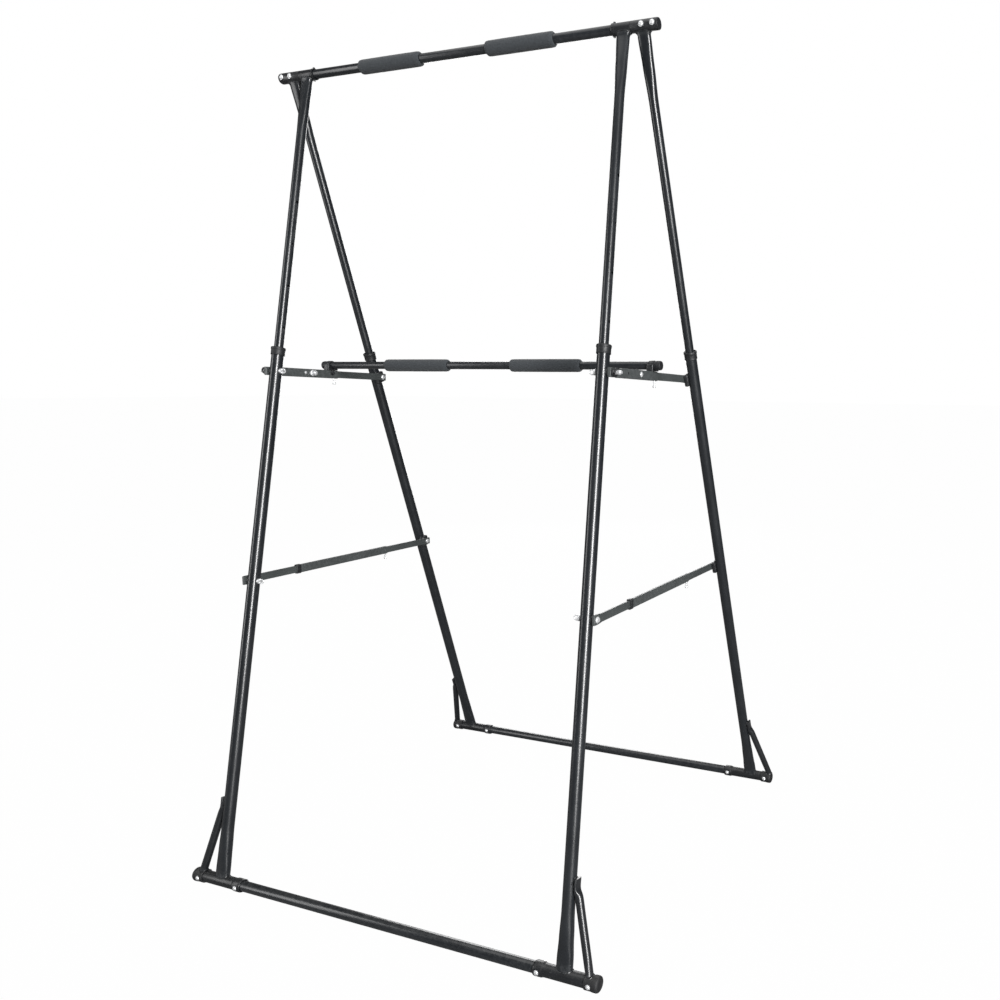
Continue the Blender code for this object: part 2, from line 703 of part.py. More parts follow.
def pop_pin(name, spreader, run):
    """Spring pin under a sleeve: pulled down to free the bar inside."""
    profile = [(0, 0), (POP_R * 0.7, 0), (POP_R * 0.7, -0.004), (POP_R * 0.45, -0.005),
               (POP_R * 0.45, -0.009), (POP_R, -0.0105), (POP_R, -0.0145), (POP_R * 0.7, -0.0155),
               (0, -0.0155)]
    place = spreader.matrix @ Matrix.Translation((0, run, -SLEEVE_DEPTH / 2 - GAP))
    return turned(name, profile, place, STEEL, SMALL_STEPS, closed=False)


def pin_bodies(pin):
    """A pin and its twin move on their own, so each has its own body."""
    stem = pin.name
    pin.name = stem + "_right"
    left = left_copy(pin, stem + "_left")
    place = pin.matrix_world.translation.copy()
    Body(stem + "_joint_right", place).take(pin)
    Body(stem + "_joint_left", (-place.x, place.y, place.z)).take(left)


pin_bodies(ring_pin("mid_ring_pin", mid))
pin_bodies(ring_pin("low_ring_pin", low))
pin_bodies(pop_pin("mid_pop_pin", mid, CHANNEL_LEN - 0.010))
pin_bodies(pop_pin("low_pop_pin", low, LOW_ROD_SHOW + LOW_SLEEVE_LEN - 0.006))
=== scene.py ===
import math

import bmesh
import bpy
from mathutils import Matrix, Vector, noise


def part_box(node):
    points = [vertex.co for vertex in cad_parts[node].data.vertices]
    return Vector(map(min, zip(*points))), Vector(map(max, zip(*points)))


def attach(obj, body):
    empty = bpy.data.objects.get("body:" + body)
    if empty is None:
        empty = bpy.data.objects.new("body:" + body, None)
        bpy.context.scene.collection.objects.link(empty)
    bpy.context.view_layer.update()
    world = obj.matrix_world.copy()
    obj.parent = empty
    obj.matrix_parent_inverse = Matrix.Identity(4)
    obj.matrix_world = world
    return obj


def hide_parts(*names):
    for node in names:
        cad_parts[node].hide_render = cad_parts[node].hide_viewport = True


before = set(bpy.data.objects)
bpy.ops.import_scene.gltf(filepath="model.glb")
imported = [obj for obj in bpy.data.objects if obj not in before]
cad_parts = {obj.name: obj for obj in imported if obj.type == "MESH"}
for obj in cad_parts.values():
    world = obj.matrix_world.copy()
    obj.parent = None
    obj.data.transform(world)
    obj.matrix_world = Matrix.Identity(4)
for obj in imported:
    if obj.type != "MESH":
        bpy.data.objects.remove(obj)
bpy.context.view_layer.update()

# ---------------------------------------------------------------- sizes, in metres
TOP_HALF = 0.442            # front leg to the middle, at the high bar
FOOT_HALF = 0.479           # front leg to the middle, at the floor rail
BACK_OUT = 0.0455
GAP = 0.0003
TEE_R = 0.0126
TEE_BORE = 0.0112
UPPER_R = 0.0108
LOWER_R = 0.0140
TUBE_WALL = 0.0016
FLARE_R = 0.0148
COLLAR_Z = 1.293
HEIGHT_HOLES = (1.350, 1.453, 1.556, 1.659)
RAISE = 0.103
MID_FRONT_Z, MID_BACK_Z = 1.2450, 1.2345
LOW_FRONT_Z, LOW_BACK_Z = 0.7350, 0.7250
BRACE_Z = 0.209
SPREADER_OUT = 0.0220
BAR_T, BAR_DEPTH = 0.0054, 0.0183
SLEEVE_T, SLEEVE_DEPTH, SLEEVE_WALL = 0.0086, 0.0215, 0.0013
CHANNEL_LEN = 0.216
CHANNEL_BOLT_RUN, CHANNEL_RIVET_RUN = 0.131, 0.108
LOW_ROD_SHOW, LOW_SLEEVE_LEN = 0.149, 0.327
LOW_BAR_RUN = 0.1964
FOOT_R = 0.0139
FOOT_BORE = 0.0125
CAP_SKIRT_R = 0.0161
BRACE_R = 0.0088
BRACE_OUT = 0.060
SIDES = 48
SHARP_EDGE = 38             # degrees
HEIGHT_HOLE_R = 0.0042
PIVOT_HOLE_R = 0.0043
HIGH_BAR_R, HIGH_BAR_WALL = 0.0106, 0.0020
LOW_BAR_R = 0.0095
UPPER_TUCKED = 0.300        # length of each upper tube inside its lower one


def middle(node):
    low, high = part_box(node)
    return (low + high) / 2


HIGH_BAR, LOW_BAR = middle("high_bar"), middle("low_bar")
FRONT_RAIL, BACK_RAIL = middle("front_rail"), middle("back_rail")


# ---------------------------------------------------------------- places
def rail_of(back):
    return BACK_RAIL if back else FRONT_RAIL


def leg_point(back, z):
    """Point at height z on a right-hand leg's axis."""
    down = (HIGH_BAR.z - z) / (HIGH_BAR.z - rail_of(back).z)
    x = TOP_HALF + (FOOT_HALF - TOP_HALF) * down + (BACK_OUT if back else 0.0)
    return Vector((x, HIGH_BAR.y + (rail_of(back).y - HIGH_BAR.y) * down, z))


def leg_length(back, low, high):
    return (leg_point(back, high) - leg_point(back, low)).length


def leg_place(back, z, shift=0.0):
    """Place on a right-hand leg: local Z runs up the leg, local X points out."""
    up = (leg_point(back, HIGH_BAR.z) - leg_point(back, rail_of(back).z)).normalized()
    side = (Vector((1, 0, 0)) - up * up.x).normalized()
    turn = Matrix((side, up.cross(side), up)).transposed().to_4x4()
    return Matrix.Translation(leg_point(back, z) + Vector((shift, 0, 0))) @ turn


def along_x(x, y, z):
    return Matrix.Translation((x, y, z)) @ Matrix.Rotation(math.pi / 2, 4, "Y")


def to_front(x, y, z):
    """Place whose local Z runs towards the front."""
    return Matrix.Translation((x, y, z)) @ Matrix.Rotation(math.pi / 2, 4, "X")


class Spreader:
    """Frame of a right-hand spreader: local Y runs from its front pivot to its back pivot."""

    def __init__(self, front_z, back_z):
        self.leg_front, self.leg_back = leg_point(False, front_z), leg_point(True, back_z)
        self.x = leg_point(False, (front_z + back_z) / 2).x + SPREADER_OUT
        front = Vector((self.x, self.leg_front.y, self.leg_front.z))
        back = Vector((self.x, self.leg_back.y, self.leg_back.z))
        self.length = (back - front).length
        run, side = (back - front).normalized(), Vector((1, 0, 0))
        turn = Matrix((side, run, side.cross(run))).transposed().to_4x4()
        self.place = Matrix.Translation(front) @ turn

    def at(self, out, run, up=0.0):
        return self.place @ Matrix.Translation((out, run, up))

    def outward(self, out, run, up=0.0):
        """Place whose local Z points out of the spreader's outer face."""
        return self.at(out, run, up) @ Matrix.Rotation(math.pi / 2, 4, "Y")

    def inward(self, out, run, up=0.0):
        return self.at(out, run, up) @ Matrix.Rotation(-math.pi / 2, 4, "Y")


MID = Spreader(MID_FRONT_Z, MID_BACK_Z)
LOW = Spreader(LOW_FRONT_Z, LOW_BACK_Z)
UPPER_SHIFT = -(FOOT_HALF - TOP_HALF) / leg_length(True, BACK_RAIL.z, HIGH_BAR.z) * RAISE / 2


# ---------------------------------------------------------------- outlines
def soften(profile, size, loop=False):
    """Round the corners of an outline."""
    made = []
    for i, corner in enumerate(profile):
        if not loop and i in (0, len(profile) - 1):
            made.append(corner)
            continue
        here = Vector(corner)
        before = Vector(profile[i - 1]) - here
        after = Vector(profile[(i + 1) % len(profile)]) - here
        reach = min(size, before.length * 0.45, after.length * 0.45)
        one, two = here + before.normalized() * reach, here + after.normalized() * reach
        made += [tuple(one), tuple((one + here * 2 + two) / 4), tuple(two)]
    return made


def oval(place, half_x, half_y, power=2.0, sides=SIDES):
    """Ring in a place's XY plane: round at power 2, flatter sided above it."""
    ring = []
    for i in range(sides):
        angle = 2 * math.pi * i / sides
        c, s = math.cos(angle), math.sin(angle)
        reach = (abs(c) ** power + abs(s) ** power) ** (-1.0 / power)
        ring.append(place @ Vector((half_x * c * reach, half_y * s * reach, 0)))
    return ring


def between(stations, steps):
    """Ease between stations, each a tuple of numbers that starts with its place along the axis."""
    made = []
    for one, two in zip(stations, stations[1:]):
        for i in range(steps):
            t = i / steps
            ease = t * t * (3 - 2 * t)
            made.append((one[0] + (two[0] - one[0]) * t,)
                        + tuple(a + (b - a) * ease for a, b in zip(one[1:], two[1:])))
    made.append(stations[-1])
    return made


def bend(points, steps=6):
    """A smooth path through points."""
    points = [Vector(point) for point in points]
    ends = [points[0] * 2 - points[1]] + points + [points[-1] * 2 - points[-2]]
    path = []
    for i in range(len(points) - 1):
        a, b, c, d = ends[i:i + 4]
        for k in range(steps):
            t = k / steps
            path.append(((b * 2) + (c - a) * t + (a * 2 - b * 5 + c * 4 - d) * t ** 2
                         + (b * 3 - a - c * 3 + d) * t ** 3) / 2)
    return path + [points[-1]]


# ---------------------------------------------------------------- forms
class Form:
    """Closed shells that make one piece, in the frame's coordinates."""

    def __init__(self):
        self.mesh = bmesh.new()

    def shell(self, rings, loop=False):
        """Skin a row of rings; a hollow form joins its last ring to its first."""
        rows = [[self.mesh.verts.new(point) for point in ring] for ring in rings]
        pairs = list(zip(rows, rows[1:]))
        if loop:
            pairs.append((rows[-1], rows[0]))
        for one, two in pairs:
            for i in range(len(one)):
                j = (i + 1) % len(one)
                self.mesh.faces.new((one[i], one[j], two[j], two[i]))
        if not loop:
            self.mesh.faces.new(rows[0])
            self.mesh.faces.new(rows[-1][::-1])
        return self

    def turned(self, profile, place, sides=SIDES, loop=False, edge=0.0):
        """Turn an outline of (radius, height) about the place's Z axis."""
        outline = soften(profile, edge, loop) if edge else profile
        rings = [oval(place @ Matrix.Translation((0, 0, h)), r, r, sides=sides) for r, h in outline]
        return self.shell(rings, loop)

    def tube(self, outer, inner, low, high, place, sides=SIDES, edge=0.0004):
        return self.turned([(outer, low), (outer, high), (inner, high), (inner, low)], place, sides,
                           loop=True, edge=edge)

    def box(self, low, high, place, edge=0.001):
        made = bmesh.ops.create_cube(self.mesh, size=1.0)
        corners = made["verts"]
        low, high = Vector(low), Vector(high)
        bmesh.ops.scale(self.mesh, vec=high - low, verts=corners)
        bmesh.ops.translate(self.mesh, vec=(low + high) / 2, verts=corners)
        edges = list({line for corner in corners for line in corner.link_edges})
        made = bmesh.ops.bevel(self.mesh, geom=edges, offset=edge, segments=3, profile=0.5, affect="EDGES")
        points = {corner for face in made["faces"] for corner in face.verts}
        bmesh.ops.transform(self.mesh, matrix=place, verts=list(points))
        return self

    def sweep(self, path, sizes, sides):
        """Sweep a round section along a closed path, with one size for each point."""
        count = len(path)
        centre = sum(path, Vector()) / count
        rings = []
        for i, point in enumerate(path):
            run = (path[(i + 1) % count] - path[i - 1]).normalized()
            out = point - centre
            out = (out - run * out.dot(run)).normalized()
            turn = Matrix((out, run.cross(out), run)).transposed().to_4x4()
            rings.append(oval(Matrix.Translation(point) @ turn, sizes[i], sizes[i], sides=sides))
        return self.shell(rings, loop=True)

    def ring(self, radius, wire, place, steps=40):
        path = []
        for i in range(steps):
            angle = 2 * math.pi * i / steps
            path.append(place @ Vector((radius * math.cos(angle), radius * math.sin(angle), 0)))
        return self.sweep(path, [wire] * steps, 12)

    def bead(self, path, radius):
        """A rippled weld bead along a closed path."""
        sizes = [radius * (1.0 + 0.16 * math.sin(i * 2.1) + 0.10 * noise.noise(point * 400))
                 for i, point in enumerate(path)]
        return self.sweep(path, sizes, 8)

    def hexagon(self, across, low, high, place):
        """A chamfered nut or bolt head."""
        radius, chamfer = across / math.sqrt(3), (high - low) * 0.22
        steps = [(0.93, low), (1.0, low + chamfer), (1.0, high - chamfer), (0.93, high)]
        rings = [oval(place @ Matrix.Translation((0, 0, h)), radius * k, radius * k, sides=6)
                 for k, h in steps]
        return self.shell(rings)

    def dome(self, radius, height, place, sides=32):
        """A domed head on a thin washer."""
        profile = [(radius * 1.22, 0.0), (radius * 1.22, 0.0007), (radius * 1.02, 0.0009)]
        for i in range(1, 7):
            angle = math.pi / 2 * i / 7
            profile.append((radius * math.cos(angle), 0.0009 + height * math.sin(angle)))
        return self.turned(profile, place, sides)

    def bolt(self, place, reach, shaft, head, washer, nut):
        """A through bolt: shaft (radius, tail), domed head (radius, height, sunk), washer (radius, out, in)
        and nut (across, far); reach is half the thickness that it clamps."""
        self.turned([(shaft[0], -reach - shaft[1]), (shaft[0], reach)], place, 20)
        self.dome(head[0], head[1], place @ Matrix.Translation((0, 0, reach - head[2])))
        self.turned([(washer[0], -reach - washer[1]), (washer[0], -reach + washer[2])], place, 32)
        return self.hexagon(nut[0], -reach - nut[1], -reach - washer[1], place)

    def screw(self, radius, height, place):
        """A small round head with a sunk round socket."""
        return self.turned([(radius, 0), (radius, height), (radius * 0.55, height),
                            (radius * 0.5, height * 0.45)], place, 24, edge=radius * 0.18)


# ---------------------------------------------------------------- finishes
def put(tree, kind, **values):
    """Add a node; a value names one of its inputs, or one of its settings."""
    made = tree.nodes.new(kind)
    for name, value in values.items():
        label = name.replace("_", " ")
        if label in made.inputs:
            made.inputs[label].default_value = value
        else:
            setattr(made, name, value)
    return made


def new_effect(name, inputs, outputs):
    """A shader node group with its input and output nodes."""
    tree = bpy.data.node_groups.new(name, "ShaderNodeTree")
    for label, value in inputs:
        socket = tree.interface.new_socket(label, in_out="INPUT", socket_type="NodeSocketFloat")
        socket.default_value = value
    for label in outputs:
        tree.interface.new_socket(label, in_out="OUTPUT", socket_type="NodeSocketFloat")
    return tree, tree.nodes.new("NodeGroupInput"), tree.nodes.new("NodeGroupOutput")


def noise_at(tree, scale_socket, factor, detail=3.0, rough=0.55, stretch=None):
    """Noise whose scale is a group input times a factor."""
    where = put(tree, "ShaderNodeTexCoord")
    vector = where.outputs["Object"]
    if stretch:
        mapping = put(tree, "ShaderNodeMapping")
        mapping.inputs["Scale"].default_value = stretch
        tree.links.new(vector, mapping.inputs["Vector"])
        vector = mapping.outputs["Vector"]
    size = put(tree, "ShaderNodeMath", operation="MULTIPLY")
    tree.links.new(scale_socket, size.inputs[0])
    size.inputs[1].default_value = factor
    made = put(tree, "ShaderNodeTexNoise", Detail=detail, Roughness=rough)
    tree.links.new(vector, made.inputs["Vector"])
    tree.links.new(size.outputs[0], made.inputs["Scale"])
    return made.outputs["Fac"]


def stretch_range(tree, value, low, high):
    made = put(tree, "ShaderNodeMapRange", clamp=True)
    made.inputs["From Min"].default_value = low
    made.inputs["From Max"].default_value = high
    tree.links.new(value, made.inputs["Value"])
    return made.outputs["Result"]


def multiply(tree, one, two, operation="MULTIPLY"):
    made = put(tree, "ShaderNodeMath", operation=operation)
    for socket, value in zip(made.inputs, (one, two)):
        if isinstance(value, (int, float)):
            socket.default_value = value
        else:
            tree.links.new(value, socket)
    return made.outputs[0]


def powder_texture():
    """The fine pebbled skin of baked powder, with broad uneven patches."""
    tree, given, out = new_effect("powder_texture", [("Scale", 1.0)], ["Height", "Patches"])
    fine = noise_at(tree, given.outputs["Scale"], 1100, 2.0, 0.5)
    broad = noise_at(tree, given.outputs["Scale"], 260, 2.0, 0.5)
    tree.links.new(multiply(tree, multiply(tree, fine, 0.6), multiply(tree, broad, 0.4), "ADD"),
                   out.inputs["Height"])
    tree.links.new(stretch_range(tree, noise_at(tree, given.outputs["Scale"], 14, 4.0, 0.6), 0.3, 0.7),
                   out.inputs["Patches"])
    return tree


def rubbed_edges():
    """Mask of the raised edges where handling has polished the finish."""
    tree, given, out = new_effect("rubbed_edges", [("Amount", 1.0), ("Scale", 1.0)], ["Mask"])
    shape = put(tree, "ShaderNodeNewGeometry")
    raised = stretch_range(tree, shape.outputs["Pointiness"], 0.53, 0.62)
    patchy = stretch_range(tree, noise_at(tree, given.outputs["Scale"], 120, 5.0, 0.65), 0.42, 0.62)
    worn = multiply(tree, raised, patchy)
    tree.links.new(multiply(tree, worn, given.outputs["Amount"]), out.inputs["Mask"])
    return tree


def settled_dust():
    """Mask of the faces that look up, where dust lies."""
    tree, given, out = new_effect("settled_dust", [("Amount", 1.0), ("Scale", 1.0)], ["Mask"])
    shape = put(tree, "ShaderNodeNewGeometry")
    split = put(tree, "ShaderNodeSeparateXYZ")
    tree.links.new(shape.outputs["Normal"], split.inputs[0])
    up = stretch_range(tree, split.outputs["Z"], 0.45, 1.0)
    patchy = stretch_range(tree, noise_at(tree, given.outputs["Scale"], 60, 5.0, 0.7), 0.35, 0.75)
    tree.links.new(multiply(tree, multiply(tree, up, patchy), given.outputs["Amount"]), out.inputs["Mask"])
    return tree


def fine_scratches():
    """Mask of thin scratches that run mostly up and down."""
    tree, given, out = new_effect("fine_scratches", [("Amount", 1.0), ("Scale", 1.0)], ["Mask"])
    long_way = noise_at(tree, given.outputs["Scale"], 90, 2.0, 0.5, (9.0, 9.0, 0.5))
    cross_way = noise_at(tree, given.outputs["Scale"], 90, 2.0, 0.5, (0.6, 7.0, 9.0))
    lines = multiply(tree, stretch_range(tree, long_way, 0.70, 0.76),
                     stretch_range(tree, cross_way, 0.73, 0.78), "MAXIMUM")
    tree.links.new(multiply(tree, lines, given.outputs["Amount"]), out.inputs["Mask"])
    return tree


def foam_cells():
    """Closed cells of moulded foam: small pits on a soft skin."""
    tree, given, out = new_effect("foam_cells", [("Scale", 1.0)], ["Height", "Tone"])
    where = put(tree, "ShaderNodeTexCoord")
    size = multiply(tree, given.outputs["Scale"], 620)
    cells = put(tree, "ShaderNodeTexVoronoi", feature="F1", Randomness=1.0)
    tree.links.new(where.outputs["Object"], cells.inputs["Vector"])
    tree.links.new(size, cells.inputs["Scale"])
    pits = stretch_range(tree, cells.outputs["Distance"], 0.05, 0.55)
    skin = noise_at(tree, given.outputs["Scale"], 1500, 4.0, 0.6)
    tree.links.new(multiply(tree, multiply(tree, pits, 0.7), multiply(tree, skin, 0.3), "ADD"),
                   out.inputs["Height"])
    tree.links.new(stretch_range(tree, noise_at(tree, given.outputs["Scale"], 210, 5.0, 0.7), 0.3, 0.7),
                   out.inputs["Tone"])
    return tree


def turned_marks():
    """Tool marks and mottling of zinc-plated hardware."""
    tree, given, out = new_effect("turned_marks", [("Scale", 1.0)], ["Height", "Tone"])
    tree.links.new(noise_at(tree, given.outputs["Scale"], 2200, 2.0, 0.5, (1.0, 1.0, 4.0)),
                   out.inputs["Height"])
    tree.links.new(stretch_range(tree, noise_at(tree, given.outputs["Scale"], 420, 4.0, 0.6), 0.3, 0.7),
                   out.inputs["Tone"])
    return tree


EFFECTS = {made.name: made for made in (powder_texture(), rubbed_edges(), settled_dust(), fine_scratches(),
                                        foam_cells(), turned_marks())}


class Finish:
    """A material built round one Principled shader."""

    def __init__(self, name, color, roughness, slot, metallic=0.0):
        self.slot = slot
        self.data = bpy.data.materials.new(name)
        self.data.use_nodes = True
        self.tree = self.data.node_tree
        self.shader = self.tree.nodes["Principled BSDF"]
        self.shader.inputs["Metallic"].default_value = metallic
        self.color, self.roughness = (*color, 1.0), roughness
        self.data.diffuse_color = self.color

    def effect(self, name, **values):
        made = self.tree.nodes.new("ShaderNodeGroup")
        made.node_tree = EFFECTS[name]
        for label, value in values.items():
            made.inputs[label].default_value = value
        return made.outputs

    def feed(self, value, socket):
        """Give a socket its value, or link it to the nodes that make one."""
        if isinstance(value, (float, tuple)):
            socket.default_value = value
        else:
            self.tree.links.new(value, socket)

    def tint(self, mask, color, strength=1.0):
        """Lay another colour over the base where a mask is."""
        made = put(self.tree, "ShaderNodeMix", data_type="RGBA", blend_type="MIX")
        self.tree.links.new(multiply(self.tree, mask, strength), made.inputs["Factor"])
        self.feed(self.color, made.inputs["A"])
        made.inputs["B"].default_value = (*color, 1.0)
        self.color = made.outputs["Result"]

    def rough(self, mask, amount):
        """Raise or lower the roughness where a mask is."""
        self.roughness = multiply(self.tree, self.roughness, multiply(self.tree, mask, amount), "ADD")

    def relief(self, height, distance, strength):
        made = put(self.tree, "ShaderNodeBump", Strength=strength, Distance=distance)
        self.tree.links.new(height, made.inputs["Height"])
        self.tree.links.new(made.outputs["Normal"], self.shader.inputs["Normal"])

    def done(self):
        self.feed(self.color, self.shader.inputs["Base Color"])
        self.feed(self.roughness, self.shader.inputs["Roughness"])
        return self


def powder_coat(name, color, roughness, wear, dust, coat=0.0):
    """Black baked powder on steel."""
    finish = Finish(name, color, roughness, "powder_black")
    skin = finish.effect("powder_texture", Scale=1.0)
    finish.tint(skin["Patches"], tuple(c * 1.7 + 0.004 for c in color), 0.45)
    finish.tint(finish.effect("settled_dust", Amount=dust, Scale=1.0)["Mask"], (0.30, 0.30, 0.29), 0.5)
    scratches = finish.effect("fine_scratches", Amount=wear, Scale=1.0)["Mask"]
    finish.tint(scratches, (0.11, 0.11, 0.115), 0.6)
    edges = finish.effect("rubbed_edges", Amount=wear, Scale=1.0)["Mask"]
    finish.tint(edges, (0.16, 0.165, 0.17), 0.6)
    finish.rough(skin["Patches"], 0.08)
    finish.rough(edges, -0.10)
    finish.relief(skin["Height"], 0.0002, 0.18)
    finish.shader.inputs["Specular IOR Level"].default_value = 0.55
    finish.shader.inputs["Coat Weight"].default_value = coat
    finish.shader.inputs["Coat Roughness"].default_value = 0.18
    return finish.done()


def zinc_plate(name, color, roughness):
    """Bright zinc-plated steel."""
    finish = Finish(name, color, roughness, "zinc_steel", metallic=0.6)
    marks = finish.effect("turned_marks", Scale=1.0)
    finish.tint(marks["Tone"], tuple(c * 0.80 for c in color), 0.5)
    finish.rough(marks["Tone"], 0.14)
    finish.relief(marks["Height"], 0.0001, 0.25)
    return finish.done()


def foam_skin(name, color):
    """Matt closed-cell foam of the hand grips."""
    finish = Finish(name, color, 0.93, "foam_black")
    cells = finish.effect("foam_cells", Scale=1.0)
    finish.tint(cells["Tone"], tuple(c * 1.9 for c in color), 0.5)
    finish.tint(finish.effect("settled_dust", Amount=0.5, Scale=2.0)["Mask"], (0.16, 0.16, 0.16), 0.4)
    finish.relief(cells["Height"], 0.0009, 0.55)
    finish.shader.inputs["Specular IOR Level"].default_value = 0.25
    finish.shader.inputs["Sheen Weight"].default_value = 0.12
    finish.shader.inputs["Sheen Roughness"].default_value = 0.5
    return finish.done()


def moulded(name, color, roughness, slot, grain):
    """Moulded black plastic or rubber with a fine spark-eroded grain."""
    finish = Finish(name, color, roughness, slot)
    skin = finish.effect("powder_texture", Scale=grain)
    finish.tint(skin["Patches"], tuple(c * 1.8 + 0.003 for c in color), 0.5)
    finish.tint(finish.effect("settled_dust", Amount=0.6, Scale=1.5)["Mask"], (0.22, 0.22, 0.21), 0.4)
    finish.tint(finish.effect("rubbed_edges", Amount=0.5, Scale=1.0)["Mask"], (0.10, 0.10, 0.10), 0.5)
    finish.rough(skin["Patches"], 0.10)
    finish.relief(skin["Height"], 0.0003, 0.45)
    return finish.done()


TUBE = powder_coat("tube_powder_coat", (0.0085, 0.0100, 0.0120), 0.27, 0.5, 0.22, coat=0.30)
STRUT = powder_coat("strut_powder_coat", (0.0075, 0.0085, 0.0100), 0.32, 0.6, 0.20, coat=0.30)
FITTING = powder_coat("fitting_powder_coat", (0.0065, 0.0072, 0.0085), 0.36, 0.8, 0.25, coat=0.15)
FLAT = powder_coat("spreader_powder_coat", (0.042, 0.047, 0.047), 0.42, 0.7, 0.25)
WELD = powder_coat("weld_powder_coat", (0.0080, 0.0090, 0.0105), 0.36, 0.6, 0.2, coat=0.2)
ZINC = zinc_plate("bright_zinc", (0.86, 0.87, 0.88), 0.24)
FOAM = foam_skin("grip_foam", (0.033, 0.037, 0.041))
PLASTIC = moulded("collar_plastic", (0.0080, 0.0088, 0.0100), 0.45, "plastic_black", 1.3)
RUBBER = moulded("cap_rubber", (0.0070, 0.0072, 0.0080), 0.60, "rubber_black", 1.0)


# ---------------------------------------------------------------- making pieces
def bored(piece, bores):
    """Cut round holes, each a (place, radius, low, high), and keep the result."""
    cutters = []
    for place, radius, low, high in bores:
        data = bpy.data.meshes.new("bore")
        drill = Form().turned([(radius, low), (radius, high)], place, 28)
        bmesh.ops.recalc_face_normals(drill.mesh, faces=drill.mesh.faces)
        drill.mesh.to_mesh(data)
        drill.mesh.free()
        cutter = bpy.data.objects.new("bore", data)
        bpy.context.scene.collection.objects.link(cutter)
        modifier = piece.modifiers.new("bore", "BOOLEAN")
        modifier.operation, modifier.solver, modifier.object = "DIFFERENCE", "EXACT", cutter
        cutters.append(cutter)
    bpy.context.view_layer.update()
    seen = piece.evaluated_get(bpy.context.evaluated_depsgraph_get())
    cut = bpy.data.meshes.new_from_object(seen)
    piece.modifiers.clear()
    piece.data = cut
    for cutter in cutters:
        bpy.data.objects.remove(cutter, do_unlink=True)


def finish_piece(name, mesh, finish, body, nodes, bores=()):
    data = bpy.data.meshes.new(name)
    bmesh.ops.recalc_face_normals(mesh, faces=mesh.faces)
    mesh.to_mesh(data)
    piece = bpy.data.objects.new(name, data)
    bpy.context.scene.collection.objects.link(piece)
    if bores:
        bored(piece, bores)
    piece.data.shade_smooth()
    piece.data.set_sharp_from_angle(angle=math.radians(SHARP_EDGE))
    piece.data.materials.clear()
    piece.data.materials.append(finish.data)
    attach(piece, body)
    if nodes:
        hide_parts(*nodes)
    return piece


def single(name, form, finish, body, node=None, bores=()):
    piece = finish_piece(name, form.mesh, finish, body, [node] if node else [], bores)
    form.mesh.free()
    return piece


def pair(name, form, finish, body, node=None, bores=(), other=None):
    """A right-hand piece and its mirror image; other is the form to mirror if the left one differs."""
    mirror = Matrix.Scale(-1, 4, (1, 0, 0))
    made = []
    twin = (other or form).mesh.copy()
    bmesh.ops.transform(twin, matrix=mirror, verts=twin.verts)
    twin_bores = [(mirror @ place, radius, low, high) for place, radius, low, high in bores]
    for side, mesh, cuts in (("right", form.mesh, bores), ("left", twin, twin_bores)):
        nodes = ["%s_%s" % (node, side)] if node else []
        made.append(finish_piece("%s_%s" % (name, side), mesh, finish, body.replace("SIDE", side), nodes,
                                 cuts))
        mesh.free()
    return made


# ---------------------------------------------------------------- high bar and tees
def high_bar():
    low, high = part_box("high_bar")
    radius = (high.z - low.z) / 2
    place = along_x(0, HIGH_BAR.y, HIGH_BAR.z)
    tube = Form().tube(radius, radius - HIGH_BAR_WALL, low.x, high.x, place)
    single("high_bar_tube", tube, TUBE, "top_frame", "high_bar")
    plug = Form().turned([(0.0040, high.x + 0.0019), (0.0094, high.x + 0.0022), (0.0116, high.x + 0.0014),
                          (0.0123, high.x + 0.0001), (0.0124, high.x - 0.0011), (0.0109, high.x - 0.0011),
                          (0.0108, high.x + 0.0002), (0.0084, high.x + 0.0002), (0.0083, high.x - 0.0120)],
                         place)
    pair("high_bar_plug", plug, PLASTIC, "top_frame")


